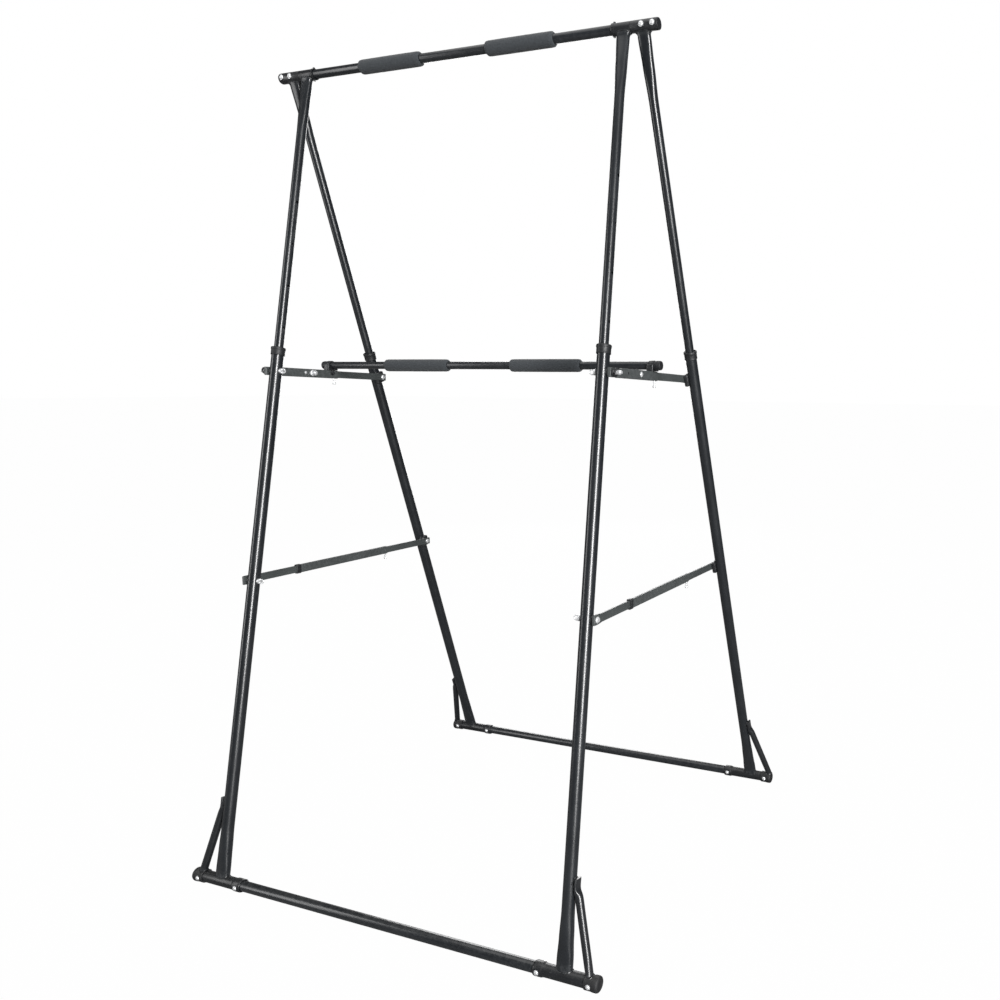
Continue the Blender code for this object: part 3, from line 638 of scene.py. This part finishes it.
def foam_grip(name, node, body, radius_bar):
    """Foam sleeve: full in the middle, chamfered ends, a slightly uneven skin."""
    low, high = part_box(node + "_right")
    y, z = (low.y + high.y) / 2, (low.z + high.z) / 2
    outer = (high.z - low.z) / 2
    chamfer = (outer - radius_bar) * 0.62
    inner = radius_bar + GAP
    start, end = low.x, high.x
    outline = [(inner, start), (outer - chamfer, start), (outer - chamfer * 0.9, start + chamfer * 0.12),
               (outer - chamfer * 0.12, start + chamfer * 1.1)]
    count = 40
    for i in range(1, count):
        t = i / count
        outline.append((outer + 0.00015 * math.sin(math.pi * t), start + (end - start) * t))
    outline = [point for point in outline if not start + chamfer * 1.1 < point[1] < start + chamfer * 1.6]
    outline = [point for point in outline if not end - chamfer * 1.6 < point[1] < end]
    outline += [(outer - chamfer * 0.12, end - chamfer * 1.1), (outer - chamfer * 0.9, end - chamfer * 0.12),
                (outer - chamfer, end), (inner, end)]
    place = along_x(0, y, z)
    rings = []
    for radius, height in outline:
        ring = oval(place @ Matrix.Translation((0, 0, height)), radius, radius, sides=64)
        if radius > inner:
            axis = Vector((height, y, z))
            ring = [point + (point - axis).normalized() * 0.00022 * noise.noise(point * 190)
                    for point in ring]
        rings.append(ring)
    for grip in pair(name, Form().shell(rings, loop=True), FOAM, body, node):
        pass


def tees():
    place = along_x(0, HIGH_BAR.y, HIGH_BAR.z)
    low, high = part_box("front_tee_right")
    lip = TEE_R + 0.0007
    front = Form().turned([(TEE_R, high.x), (TEE_R, low.x + 0.0085), (lip, low.x + 0.0065), (lip, low.x),
                           (TEE_BORE, low.x), (TEE_BORE, high.x)], place, loop=True, edge=0.0008)
    pair("front_tee_sleeve", front, FITTING, "front_upper", "front_tee")
    screw = Form()
    spot = Matrix.Translation((low.x + 0.0042, HIGH_BAR.y, HIGH_BAR.z))
    screw.screw(0.0027, 0.0030, spot @ Matrix.Translation((0, 0, lip - 0.0003)))
    screw.hexagon(0.0052, lip - 0.0002, lip + 0.0024, spot @ Matrix.Rotation(math.pi, 4, "X"))
    pair("front_tee_screw", screw, FITTING, "front_upper")

    low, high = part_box("back_tee_right")
    back = Form().tube(TEE_R, 0.0109, low.x, high.x, place, edge=0.0008)
    pair("back_tee_sleeve", back, FITTING, "top_frame", "back_tee")
    for number in (1, 2):
        spot = middle("tee_bolt_%d_right" % number)
        bolt = Form().bolt(to_front(spot.x, HIGH_BAR.y, HIGH_BAR.z), TEE_R, (0.0031, 0.0060),
                           (0.0050, 0.0032, 0.0003), (0.0062, 0.0008, 0.0002), (0.0100, 0.0056))
        pair("tee_bolt_%d_plated" % number, bolt, ZINC, "top_frame", "tee_bolt_%d" % number)


# ---------------------------------------------------------------- legs
def meet(place, half_x, half_y, power, axis_y, axis_z, radius, upward, sides=SIDES):
    """Ring where a leg's outline, carried along the leg, meets a cylinder that lies along X."""
    along = (place.to_3x3() @ Vector((0, 0, 1))).normalized()
    ring = []
    for point in oval(place, half_x, half_y, power, sides):
        dy, dz = point.y - axis_y, point.z - axis_z
        a = along.y ** 2 + along.z ** 2
        b = 2 * (dy * along.y + dz * along.z)
        c = dy ** 2 + dz ** 2 - radius ** 2
        root = math.sqrt(max(b * b - 4 * a * c, 0.0))
        step = (-b - root) / (2 * a) if upward else (-b + root) / (2 * a)
        ring.append(point + along * step)
    return ring


def leg_form(back, stations, origin_z, shift, wall, foot=None, head=None):
    """Hollow tube on a leg's axis through stations of (length, half X, half Y, power)."""
    place = leg_place(back, origin_z, shift)
    outer, inner = [], []
    for length, half_x, half_y, power in stations:
        spot = place @ Matrix.Translation((0, 0, length))
        outer.append(oval(spot, half_x, half_y, power))
        inner.append(oval(spot, half_x - wall, half_y - wall, power))
    if head:
        outer[-1], inner[-1] = head
    if foot:
        outer[0], inner[0] = foot
    return Form().shell(outer + inner[::-1], loop=True)


def upper_leg(back):
    reach = leg_length(back, COLLAR_Z, HIGH_BAR.z)
    top = FLARE_R, UPPER_R * 0.72, 2.9
    stations = between([(-UPPER_TUCKED, UPPER_R, UPPER_R, 2.0), (0.02, UPPER_R, UPPER_R, 2.0),
                        (reach - 0.150, UPPER_R, UPPER_R, 2.0),
                        (reach - 0.075, FLARE_R - 0.0016, 0.0090, 2.5), (reach - 0.020, *top)], 7)
    place = leg_place(back, COLLAR_Z, UPPER_SHIFT) @ Matrix.Translation((0, 0, reach - 0.040))
    head = (meet(place, top[0] + 0.0020, top[1] + 0.0016, top[2], HIGH_BAR.y, HIGH_BAR.z,
                 TEE_R - 0.0009, True),
            meet(place, top[0] - TUBE_WALL, top[1] - TUBE_WALL, top[2], HIGH_BAR.y, HIGH_BAR.z,
                 TEE_R - 0.0009, True))
    stations.append((reach - 0.018, *top))
    stations.append((reach - 0.014, *top))
    form = leg_form(back, stations, COLLAR_Z, UPPER_SHIFT, TUBE_WALL, head=head)
    bores = []
    for z in HEIGHT_HOLES:
        hole = leg_place(back, z, UPPER_SHIFT)
        if back:
            bores.append((hole @ Matrix.Rotation(-math.pi / 2, 4, "X"), HEIGHT_HOLE_R, 0.0, 0.03))
        else:
            bores.append((hole @ Matrix.Rotation(math.pi / 2, 4, "Y"), HEIGHT_HOLE_R, -0.03, 0.03))
    stem, body = ("back", "top_frame") if back else ("front", "front_upper")
    pair(stem + "_upper_tube", form, TUBE, body, stem + "_upper_leg", bores)
    weld = meet(place, top[0] + 0.0020, top[1] + 0.0016, top[2], HIGH_BAR.y, HIGH_BAR.z, TEE_R + 0.0002,
                True, 96)
    pair(stem + "_tee_weld", Form().bead(weld, 0.0014), WELD, body)


def lower_leg(back):
    rail = rail_of(back)
    length = leg_length(back, rail.z, COLLAR_Z)
    foot = LOWER_R * 1.28, LOWER_R * 0.78, 2.8
    stations = [(0.014, *foot)] + between([(0.030, *foot), (0.075, LOWER_R * 1.12, LOWER_R * 0.92, 2.4),
                                           (0.130, LOWER_R, LOWER_R, 2.0),
                                           (length - 0.02, LOWER_R, LOWER_R, 2.0),
                                           (length - 0.0004, LOWER_R, LOWER_R, 2.0)], 7)
    place = leg_place(back, rail.z) @ Matrix.Translation((0, 0, 0.040))
    ends = (meet(place, *foot, rail.y, rail.z, FOOT_R - 0.0009, False),
            meet(place, foot[0] - TUBE_WALL, foot[1] - TUBE_WALL, foot[2], rail.y, rail.z, FOOT_R - 0.0009,
                 False))
    form = leg_form(back, stations, rail.z, 0.0, TUBE_WALL, foot=ends)
    stem, body = ("back", "back_lower") if back else ("front", "front_lower")
    bores = []
    if not back:
        for spreader in (MID, LOW):
            bores.append((Matrix.Translation(spreader.leg_front) @ Matrix.Rotation(math.pi / 2, 4, "Y"),
                          0.0044, -0.03, 0.0))
    pair(stem + "_lower_tube", form, TUBE, body, stem + "_lower_leg", bores)
    weld = meet(place, foot[0] + 0.0003, foot[1] + 0.0003, foot[2], rail.y, rail.z, FOOT_R + 0.0002,
                False, 96)
    pair(stem + "_foot_weld", Form().bead(weld, 0.0015), WELD, body)


def collars():
    """Moulded collars in two steps, thicker where the upper tube enters."""
    for back, body, stem in ((True, "back_lower", "back"), (False, "front_lower", "front")):
        place = leg_place(back, COLLAR_Z)
        profile = [(0.0152, 0.0100), (0.0165, 0.0090), (0.0167, 0.0042), (0.0158, 0.0032), (0.0157, -0.0072),
                   (0.0160, -0.0080), (0.0160, -0.0094), (0.0151, -0.0100), (LOWER_R + GAP, -0.0100),
                   (LOWER_R + GAP, 0.0002), (0.0125, 0.0003), (0.0125, 0.0098)]
        moulding = Form().turned(profile, place, 64, loop=True, edge=0.0007)
        pair(stem + "_collar_moulding", moulding, PLASTIC, body, stem + "_collar")


# ---------------------------------------------------------------- feet
def feet():
    for back, body, stem in ((True, "back_lower", "back"), (False, "front_lower", "front")):
        rail = rail_of(back)
        low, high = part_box(stem + "_rail")
        radius = (high.z - low.z) / 2
        place = along_x(0, rail.y, rail.z)
        single(stem + "_rail_tube", Form().tube(radius, radius - TUBE_WALL, low.x, high.x, place), TUBE, body,
               stem + "_rail")
        foot_sleeve(stem, body, rail, place)
        end_cap(stem, body, place)
        brace(back, stem, body, rail)


def foot_sleeve(stem, body, rail, place):
    """Sleeve welded to leg and brace, with a swaged clamp lip where its inner bolt goes through."""
    low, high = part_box(stem + "_foot_sleeve_right")
    lip = 0.0157
    outline = [(FOOT_R, high.x), (FOOT_R, low.x + 0.0270), (FOOT_R + 0.0004, low.x + 0.0235),
               (lip, low.x + 0.0195), (lip, low.x + 0.0035), (FOOT_R + 0.0006, low.x + 0.0004),
               (FOOT_BORE, low.x), (FOOT_BORE, high.x)]
    pair(stem + "_foot_sleeve_tube", Form().turned(outline, place, 64, loop=True, edge=0.0010), FITTING, body,
         stem + "_foot_sleeve")
    for number, x, reach in ((1, low.x + 0.0112, lip), (2, high.x - 0.0060, CAP_SKIRT_R)):
        bolt = Form().bolt(to_front(x, rail.y, rail.z), reach, (0.0030, 0.0050), (0.0047, 0.0030, 0.0007),
                           (0.0060, 0.0006, 0.0004), (0.0088, 0.0046))
        pair("%s_foot_bolt_%d" % (stem, number), bolt, ZINC, body)


def end_cap(stem, body, place):
    """Rubber foot pushed over the rail's end: a skirt, a rounded nose, flat where it stands."""
    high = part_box(stem + "_end_cap_right")[1]
    sleeve_end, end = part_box(stem + "_foot_sleeve_right")[1].x, high.x
    radius = high.z - place.translation.z
    skirt, full = CAP_SKIRT_R, sleeve_end - 0.0180
    outline = [(0.0103, sleeve_end - 0.020), (0.0103, sleeve_end + 0.0002),
               (FOOT_R + 0.0001, sleeve_end + 0.0002), (FOOT_R + 0.0001, full), (skirt - 0.0008, full),
               (skirt, full + 0.0010), (skirt, sleeve_end - 0.0020),
               (radius, sleeve_end + 0.0020), (radius, end - 0.0060), (radius * 0.985, end - 0.0040),
               (radius * 0.93, end - 0.0020), (radius * 0.84, end - 0.0008), (radius * 0.74, end),
               (radius * 0.66, end - 0.0006), (radius * 0.52, end - 0.0020), (radius * 0.20, end - 0.0026)]
    rings = []
    for size, x in outline:
        ring = oval(place @ Matrix.Translation((0, 0, x)), size, size, sides=64)
        rings.append([Vector((point.x, point.y, max(point.z, 0.0))) for point in ring])
    pair(stem + "_rubber_foot", Form().shell(rings), RUBBER, body, stem + "_end_cap")


def brace(back, stem, body, rail):
    """Bent strut: its top flattened and welded to the leg, its foot welded to the sleeve."""
    out = LOWER_R + 0.0084
    frame_z = leg_place(back, BRACE_Z)
    top = frame_z @ Vector((out - 0.0046, 0, 0.004))
    flat = frame_z @ Vector((out - 0.0042, 0, -0.020))
    knee = frame_z @ Vector((out + 0.0016, 0, -0.036))
    toe = leg_point(back, rail.z) + Vector((BRACE_OUT, 0, 0))
    toe.z += CAP_SKIRT_R - 0.0012
    down = (toe - knee).normalized()
    path = bend([top, flat, knee, knee + down * 0.030, knee + down * 0.085, toe], 6)
    rings = []
    length = sum((b - a).length for a, b in zip(path, path[1:]))
    run_so_far = 0.0
    for i, point in enumerate(path):
        ahead, behind = path[min(i + 1, len(path) - 1)], path[max(i - 1, 0)]
        run = (behind - ahead).normalized()
        side = (Vector((1, 0, 0)) - run * run.x).normalized()
        turn = Matrix((side, run.cross(side), run)).transposed().to_4x4()
        if i:
            run_so_far += (path[i] - path[i - 1]).length
        squeeze = 1 - min(max((run_so_far - 0.018) / 0.020, 0), 1)
        squeeze = squeeze * squeeze * (3 - 2 * squeeze)
        foot = min(max((run_so_far - (length - 0.030)) / 0.030, 0), 1) * 0.45
        half_x = BRACE_R + (0.0033 - BRACE_R) * max(squeeze, foot * 0.4)
        half_y = BRACE_R + (0.0116 - BRACE_R) * max(squeeze, foot)
        rings.append(oval(Matrix.Translation(point) @ turn, half_x, half_y, 2.0 + 1.6 * squeeze, 32))
    pair(stem + "_brace_tube", Form().shell(rings), STRUT, body, stem + "_brace")
    welds = Form()
    frame_top = frame_z @ Matrix.Translation((LOWER_R + 0.0006, 0, -0.006))
    path = []
    for i in range(60):
        angle = 2 * math.pi * i / 60
        spot = frame_top @ Vector((0, 0.0098 * math.cos(angle), 0.0118 * math.sin(angle)))
        spot -= (frame_z.to_3x3() @ Vector((1, 0, 0))) * (0.0036 * math.cos(angle) ** 2)
        path.append(spot)
    welds.bead(path, 0.0012)
    pair(stem + "_brace_weld_top", welds, WELD, body)
    place_toe = Matrix.Translation((toe.x, toe.y, rail.z))
    path = []
    for i in range(56):
        angle = 2 * math.pi * i / 56
        y = 0.0100 * math.sin(angle)
        path.append(place_toe @ Vector((0.0086 * math.cos(angle), y, math.sqrt(CAP_SKIRT_R ** 2 - y ** 2))))
    pair(stem + "_brace_weld_foot", Form().bead(path, 0.0012), WELD, body)


# ---------------------------------------------------------------- spreaders
def rounded_slab(half_t, half_d, corner, sides=28):
    """Outline of a flat bar's section, as (X, Z) pairs."""
    outline = []
    for i in range(sides):
        angle = 2 * math.pi * (i + 0.5) / sides
        x = math.copysign(half_t - corner, math.cos(angle)) + corner * math.cos(angle)
        z = math.copysign(half_d - corner, math.sin(angle)) + corner * math.sin(angle)
        outline.append((x, z))
    return outline


def slab(form, spreader, half_t, half_d, corner, start, end, swell=None):
    """Solid flat bar along the spreader; swell gives its half depth at each place along it."""
    rings = []
    stops = [start, start + 0.0006]
    stops += [start + (end - start) * i / 24 for i in range(1, 24)]
    stops += [end - 0.0006, end]
    for i, run in enumerate(stops):
        inset = 0.0005 if i in (0, len(stops) - 1) else 0.0
        depth = swell(run) if swell else half_d
        outline = rounded_slab(half_t - inset, depth - inset, corner)
        rings.append([spreader.place @ Vector((x, run, z)) for x, z in outline])
    return form.shell(rings)


def hollow_slab(form, spreader, half_t, half_d, wall, corner, start, end):
    """Flat tube along the spreader, with rounded mouths."""
    outline = [(0.0004, start), (0.0, start + 0.0005), (0.0, end - 0.0005), (0.0004, end)]
    rings = []
    for inset, run in outline:
        section = rounded_slab(half_t - inset, half_d - inset, corner)
        rings.append([spreader.place @ Vector((x, run, z)) for x, z in section])
    for inset, run in reversed(outline):
        section = rounded_slab(half_t - wall + inset * 0.5, half_d - wall + inset * 0.5,
                               max(corner - wall, 0.0005))
        rings.append([spreader.place @ Vector((x, run, z)) for x, z in section])
    return form.shell(rings, loop=True)


def eye_swell(half_d, centre, bulge, reach):
    """Depth of a bar that swells into a rounded eye."""
    def depth(run):
        away = abs(run - centre) / reach
        if away >= 1:
            return half_d
        return half_d + (bulge - half_d) * (1 - away * away) ** 0.5
    return depth


def mid_spreader():
    half_t, half_d = SLEEVE_T / 2, SLEEVE_DEPTH / 2
    form = Form()
    hollow_slab(form, MID, half_t, half_d, SLEEVE_WALL, 0.0022, 0.020, CHANNEL_LEN)
    slab(form, MID, half_t - 0.0006, half_d - 0.0006, 0.0016, -0.012, 0.045)
    bores = [(MID.outward(0, 0), PIVOT_HOLE_R, -0.02, 0.02),
             (MID.outward(0, 0.069, 0.001), 0.0026, 0.0, 0.02)]
    pair("mid_channel_tube", form, FLAT, "low_bar_frame", "mid_channel", bores)
    tucked = CHANNEL_LEN - 0.120
    bar = Form()
    slab(bar, MID, BAR_T / 2, BAR_DEPTH / 2, 0.0012, tucked, MID.length + 0.012,
         eye_swell(BAR_DEPTH / 2, MID.length, 0.0098, 0.014))
    pair("mid_back_strap", bar, FLAT, "mid_spreader_bars", "mid_back_bar",
         [(MID.outward(0, MID.length), PIVOT_HOLE_R, -0.02, 0.02)])
    spreader_bolts()


def spreader_bolts():
    """Plated bolts of the channels, and the pivots of the spreaders' front ends."""
    face = SLEEVE_T / 2
    bolt = Form().bolt(MID.outward(0, CHANNEL_BOLT_RUN, 0.001), face, (0.0030, 0.0118),
                       (0.0052, 0.0026, 0.0002), (0.0080, 0.0011, 0.0002), (0.0122, 0.0098))
    pair("channel_bolt", bolt, ZINC, "low_bar_frame")
    rivet = Form().dome(0.0030, 0.0012, MID.inward(-face + 0.0002, CHANNEL_RIVET_RUN, 0.001))
    pair("channel_rivet", rivet, ZINC, "low_bar_frame")
    quick = Form().turned([(0.0037, -face), (0.0037, face + 0.0050), (0.0050, face + 0.0055),
                           (0.0050, face + 0.0160), (0.0034, face + 0.0185), (0.0034, face + 0.0200)],
                          MID.outward(0, 0), 32, edge=0.0008)
    pair("mid_pivot_bolt", quick, ZINC, "low_bar_frame")
    hooks = Form()
    for out in (face + 0.0022, face + 0.0080):
        centre = MID.outward(out, 0) @ Matrix.Rotation(math.radians(24), 4, "Y")
        hooks.ring(0.0088, 0.0017, centre)
    pair("mid_pivot_spring", hooks, PLASTIC, "low_bar_frame")
    face = BAR_T / 2
    bolt = Form().turned([(0.0037, -face), (0.0037, face + 0.001)], LOW.outward(0, 0), 24)
    bolt.turned([(0.0072, face + 0.0001), (0.0072, face + 0.0012)], LOW.outward(0, 0), 32)
    bolt.hexagon(0.0098, face + 0.0010, face + 0.0044, LOW.outward(0, 0))
    pair("low_pivot_bolt", bolt, ZINC, "low_spreader_front_SIDE")


def low_spreader():
    start = LOW_ROD_SHOW
    end = start + LOW_SLEEVE_LEN
    rod = Form()
    slab(rod, LOW, BAR_T / 2, BAR_DEPTH / 2, 0.0012, -0.012, start + 0.040,
         eye_swell(BAR_DEPTH / 2, 0.0, 0.0112, 0.016))
    pair("low_front_strap", rod, FLAT, "low_spreader_front_SIDE", "low_front_rod",
         [(LOW.outward(0, 0), PIVOT_HOLE_R, -0.02, 0.02)])
    cover = Form()
    hollow_slab(cover, LOW, SLEEVE_T / 2, SLEEVE_DEPTH / 2, SLEEVE_WALL, 0.0022, start, end)
    pair("low_sleeve_tube", cover, FLAT, "low_spreader_front_SIDE", "low_sleeve")
    clamp = Form()
    hollow_slab(clamp, LOW, SLEEVE_T / 2 + 0.0012, SLEEVE_DEPTH / 2 + 0.0012, 0.0011, 0.0030, start - 0.002,
                start + 0.011)
    pair("low_sleeve_clamp", clamp, PLASTIC, "low_spreader_front_SIDE")
    bar = Form()
    slab(bar, LOW, BAR_T / 2, BAR_DEPTH / 2, 0.0012, end - 0.120, LOW.length + 0.012,
         eye_swell(BAR_DEPTH / 2, LOW.length, 0.0098, 0.014))
    pair("low_back_strap", bar, FLAT, "low_spreader_back_SIDE", "low_back_bar",
         [(LOW.outward(0, LOW.length), PIVOT_HOLE_R, -0.02, 0.02)])


def leg_brackets():
    """Pivot bosses on the front legs and clevis brackets on the back legs."""
    for spreader, stem in ((MID, "mid"), (LOW, "low")):
        place = Matrix.Translation(spreader.leg_front) @ Matrix.Rotation(math.pi / 2, 4, "Y")
        face = spreader.x - SLEEVE_T / 2 - 0.0006 - spreader.leg_front.x
        leg = leg_place(False, spreader.leg_front.z)
        rings = []
        for radius in (0.0010, 0.0035, 0.0055, 0.0072, 0.0088):
            root = [leg.inverted() @ point for point in oval(place, radius, radius, sides=40)]
            rings.append([leg @ Vector((math.sqrt((LOWER_R - 0.0006) ** 2 - point.y ** 2), point.y, point.z))
                          for point in root])
        for radius, out in ((0.0088, face - 0.0019), (0.0086, face - 0.0014), (0.0078, face - 0.0010),
                            (0.0075, face - 0.0006), (0.0073, face)):
            rings.append(oval(place @ Matrix.Translation((0, 0, out)), radius, radius, sides=40))
        pair(stem + "_pivot_boss", Form().shell(rings), FITTING, "front_lower")
        out = spreader.leg_back.x - spreader.x
        leg = leg_place(True, spreader.leg_back.z)
        clevis = Form()
        clevis.box((BAR_T / 2 + 0.0004 - out, -0.0165, -0.0150), (-LOWER_R + 0.0045, 0.0130, 0.0150), leg,
                   0.0030)
        pair(stem + "_back_bracket", clevis, FITTING, "back_lower")
        pin = Form().turned([(0.0038, -BAR_T / 2 - 0.0016), (0.0038, BAR_T / 2 + 0.002)],
                            spreader.outward(0, spreader.length), 24)
        pin.dome(0.0056, 0.0026, spreader.inward(-BAR_T / 2 - 0.0004, spreader.length))
        pair(stem + "_back_pivot", pin, ZINC, "back_lower")


# ---------------------------------------------------------------- low bar
def low_bar():
    low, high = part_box("low_bar")
    radius = (high.z - low.z) / 2
    place = along_x(0, LOW_BAR.y, LOW_BAR.z)
    tube = Form().tube(radius, radius - TUBE_WALL, low.x, high.x, place)
    single("low_bar_tube", tube, TUBE, "low_bar_frame", "low_bar")
    cap = Form().turned([(radius + 0.0002, high.x - 0.022), (radius + 0.0012, high.x - 0.0216),
                         (radius + 0.0014, high.x - 0.0030), (radius + 0.0006, high.x + 0.0006),
                         (radius - 0.0030, high.x + 0.0012), (0.0020, high.x + 0.0012)], place, edge=0.0006)
    pair("low_bar_cap", cap, PLASTIC, "low_bar_frame")
    seat = Form()
    bottom, width = SLEEVE_DEPTH / 2 + GAP, 0.0080
    seat.box((-width, LOW_BAR_RUN - 0.0165, bottom), (width, LOW_BAR_RUN + 0.0165, bottom + 0.0032),
             MID.place, 0.0009)
    for way in (-1, 1):
        start, end = sorted((way * (radius + 0.0008), way * (radius + 0.0065)))
        seat.box((-width, LOW_BAR_RUN + start, bottom + 0.0020), (width, LOW_BAR_RUN + end, bottom + 0.0150),
                 MID.place, 0.0014)
    pair("low_bar_cradle", seat, FITTING, "low_bar_frame", "low_bar_seat")
    strap = Form()
    spot = along_x(MID.x, LOW_BAR.y, LOW_BAR.z)
    strap.tube(radius + 0.0022, radius + 0.0002, -0.0060, 0.0060, spot, edge=0.0005)
    pair("low_bar_strap", strap, FITTING, "low_bar_frame")
    lug = Form().turned([(0.0062, -0.0016), (0.0062, 0.0016)],
                        MID.inward(-SLEEVE_T / 2 - 0.0012, LOW_BAR_RUN, 0.004), 32, edge=0.0006)
    lug.dome(0.0028, 0.0018, MID.inward(-SLEEVE_T / 2 - 0.0026, LOW_BAR_RUN, 0.004))
    pair("low_bar_lug", lug, FITTING, "low_bar_frame")


# ---------------------------------------------------------------- pins
def ring_pins():
    """Quick-release pins in the front legs, each with its pull ring."""
    for spreader, stem in ((MID, "mid"), (LOW, "low")):
        place = Matrix.Translation(spreader.leg_front) @ Matrix.Rotation(-math.pi / 2, 4, "Y")
        shoulder = LOWER_R + 0.0008
        head = shoulder + 0.0060
        pin = Form().turned([(0.0030, LOWER_R - 0.0024), (0.0036, LOWER_R - 0.0014), (0.0036, shoulder),
                             (0.0066, shoulder), (0.0066, head - 0.0004), (0.0020, head)], place, 32,
                            edge=0.0006)
        centre = (place @ Matrix.Translation((0, 0, head + 0.0052 - 0.0012))
                  @ Matrix.Rotation(math.pi / 2, 4, "X"))
        pin.ring(0.0052, 0.0011, centre)
        pair(stem + "_quick_pin", pin, ZINC, "%s_ring_pin_SIDE" % stem, stem + "_ring_pin")


def pop_pins():
    """Sprung pins under the sleeves."""
    for spreader, stem, run in ((MID, "mid", CHANNEL_LEN - 0.010),
                                (LOW, "low", LOW_ROD_SHOW + LOW_SLEEVE_LEN - 0.006)):
        place = spreader.at(0, run, -SLEEVE_DEPTH / 2 - GAP)
        pin = Form().turned([(0.0029, 0.0), (0.0029, -0.0040), (0.0018, -0.0050), (0.0018, -0.0092),
                             (0.0038, -0.0104), (0.0040, -0.0142), (0.0026, -0.0155)], place, 32, edge=0.0005)
        pair(stem + "_pop_knob", pin, ZINC, "%s_pop_pin_SIDE" % stem, stem + "_pop_pin")


high_bar()
foam_grip("high_foam", "high_grip", "top_frame", HIGH_BAR_R)
foam_grip("low_foam", "low_grip", "low_bar_frame", LOW_BAR_R)
tees()
for is_back in (False, True):
    upper_leg(is_back)
    lower_leg(is_back)
collars()
feet()
mid_spreader()
low_spreader()
leg_brackets()
low_bar()
ring_pins()
pop_pins()


# ---------------------------------------------------------------- floor, light and camera
def studio():
    scene = bpy.context.scene
    scene.view_settings.view_transform = "Standard"
    world = bpy.data.worlds.new("white_studio")
    scene.world = world
    world.use_nodes = True
    tree = world.node_tree
    tree.nodes.clear()
    out = tree.nodes.new("ShaderNodeOutputWorld")
    seen, lit = put(tree, "ShaderNodeBackground"), put(tree, "ShaderNodeBackground")
    seen.inputs["Strength"].default_value = 1.0
    seen.inputs["Color"].default_value = (1, 1, 1, 1)
    lit.inputs["Color"].default_value = (0.95, 0.97, 1.0, 1)
    lit.inputs["Strength"].default_value = 0.08
    choice, path = put(tree, "ShaderNodeMixShader"), put(tree, "ShaderNodeLightPath")
    tree.links.new(path.outputs["Is Camera Ray"], choice.inputs[0])
    tree.links.new(lit.outputs[0], choice.inputs[1])
    tree.links.new(seen.outputs[0], choice.inputs[2])
    tree.links.new(choice.outputs[0], out.inputs["Surface"])

    data = bpy.data.meshes.new("studio_floor")
    reach = 60.0
    data.from_pydata([(-reach, -reach, 0), (reach, -reach, 0), (reach, reach, 0), (-reach, reach, 0)], [],
                     [(0, 1, 2, 3)])
    floor = bpy.data.objects.new("studio_floor", data)
    scene.collection.objects.link(floor)
    paint = bpy.data.materials.new("pale_floor")
    paint.use_nodes = True
    tree = paint.node_tree
    shader, out = tree.nodes["Principled BSDF"], tree.nodes["Material Output"]
    shader.inputs["Base Color"].default_value = (0.22, 0.22, 0.22, 1)
    shader.inputs["Roughness"].default_value = 0.95
    shader.inputs["Specular IOR Level"].default_value = 0.1
    glow = put(tree, "ShaderNodeEmission", Strength=1.01)
    glow.inputs["Color"].default_value = (1, 1, 1, 1)
    path, choice = put(tree, "ShaderNodeLightPath"), put(tree, "ShaderNodeMixShader")
    tree.links.new(multiply(tree, path.outputs["Is Camera Ray"], 0.98), choice.inputs[0])
    tree.links.new(shader.outputs[0], choice.inputs[1])
    tree.links.new(glow.outputs[0], choice.inputs[2])
    tree.links.new(choice.outputs[0], out.inputs["Surface"])
    data.materials.append(paint)


def softbox(name, place, aim, width, height, power):
    data = bpy.data.lights.new(name, "AREA")
    data.shape, data.size, data.size_y, data.energy = "RECTANGLE", width, height, power
    lamp = bpy.data.objects.new(name, data)
    lamp.location = place
    lamp.rotation_mode = "QUATERNION"
    lamp.rotation_quaternion = (Vector(aim) - Vector(place)).to_track_quat("-Z", "Y")
    bpy.context.scene.collection.objects.link(lamp)


def lights():
    softbox("overhead", (0.0, -0.5, 4.4), (0.0, 0.0, 0.0), 4.0, 4.0, 60)
    softbox("right_window", (4.9, -3.9, 1.5), (0.0, 0.0, 1.0), 1.5, 4.6, 760)
    softbox("left_window", (-3.6, -3.0, 1.9), (0.0, 0.0, 1.0), 1.4, 3.6, 60)
    softbox("back_window", (-2.4, 4.6, 2.2), (0.0, 0.0, 1.0), 2.4, 3.4, 130)


def camera():
    data = bpy.data.cameras.new("camera")
    data.sensor_width = 36.0
    data.lens = 31.387
    data.shift_x, data.shift_y = -0.235, 0.015
    made = bpy.data.objects.new("camera", data)
    yaw, pitch, roll = 0.35542, -0.14806, 0.00911
    ahead = Vector((-math.sin(yaw) * math.cos(pitch), math.cos(yaw) * math.cos(pitch), math.sin(pitch)))
    level = Vector((math.cos(yaw), math.sin(yaw), 0))
    up = level.cross(ahead)
    right = level * math.cos(roll) + up * math.sin(roll)
    top = up * math.cos(roll) - level * math.sin(roll)
    turn = Matrix((right, top, -ahead)).transposed().to_4x4()
    made.matrix_world = Matrix.Translation((1.36999, -1.92699, 1.22109)) @ turn
    bpy.context.scene.collection.objects.link(made)
    bpy.context.scene.camera = made


studio()
lights()
camera()
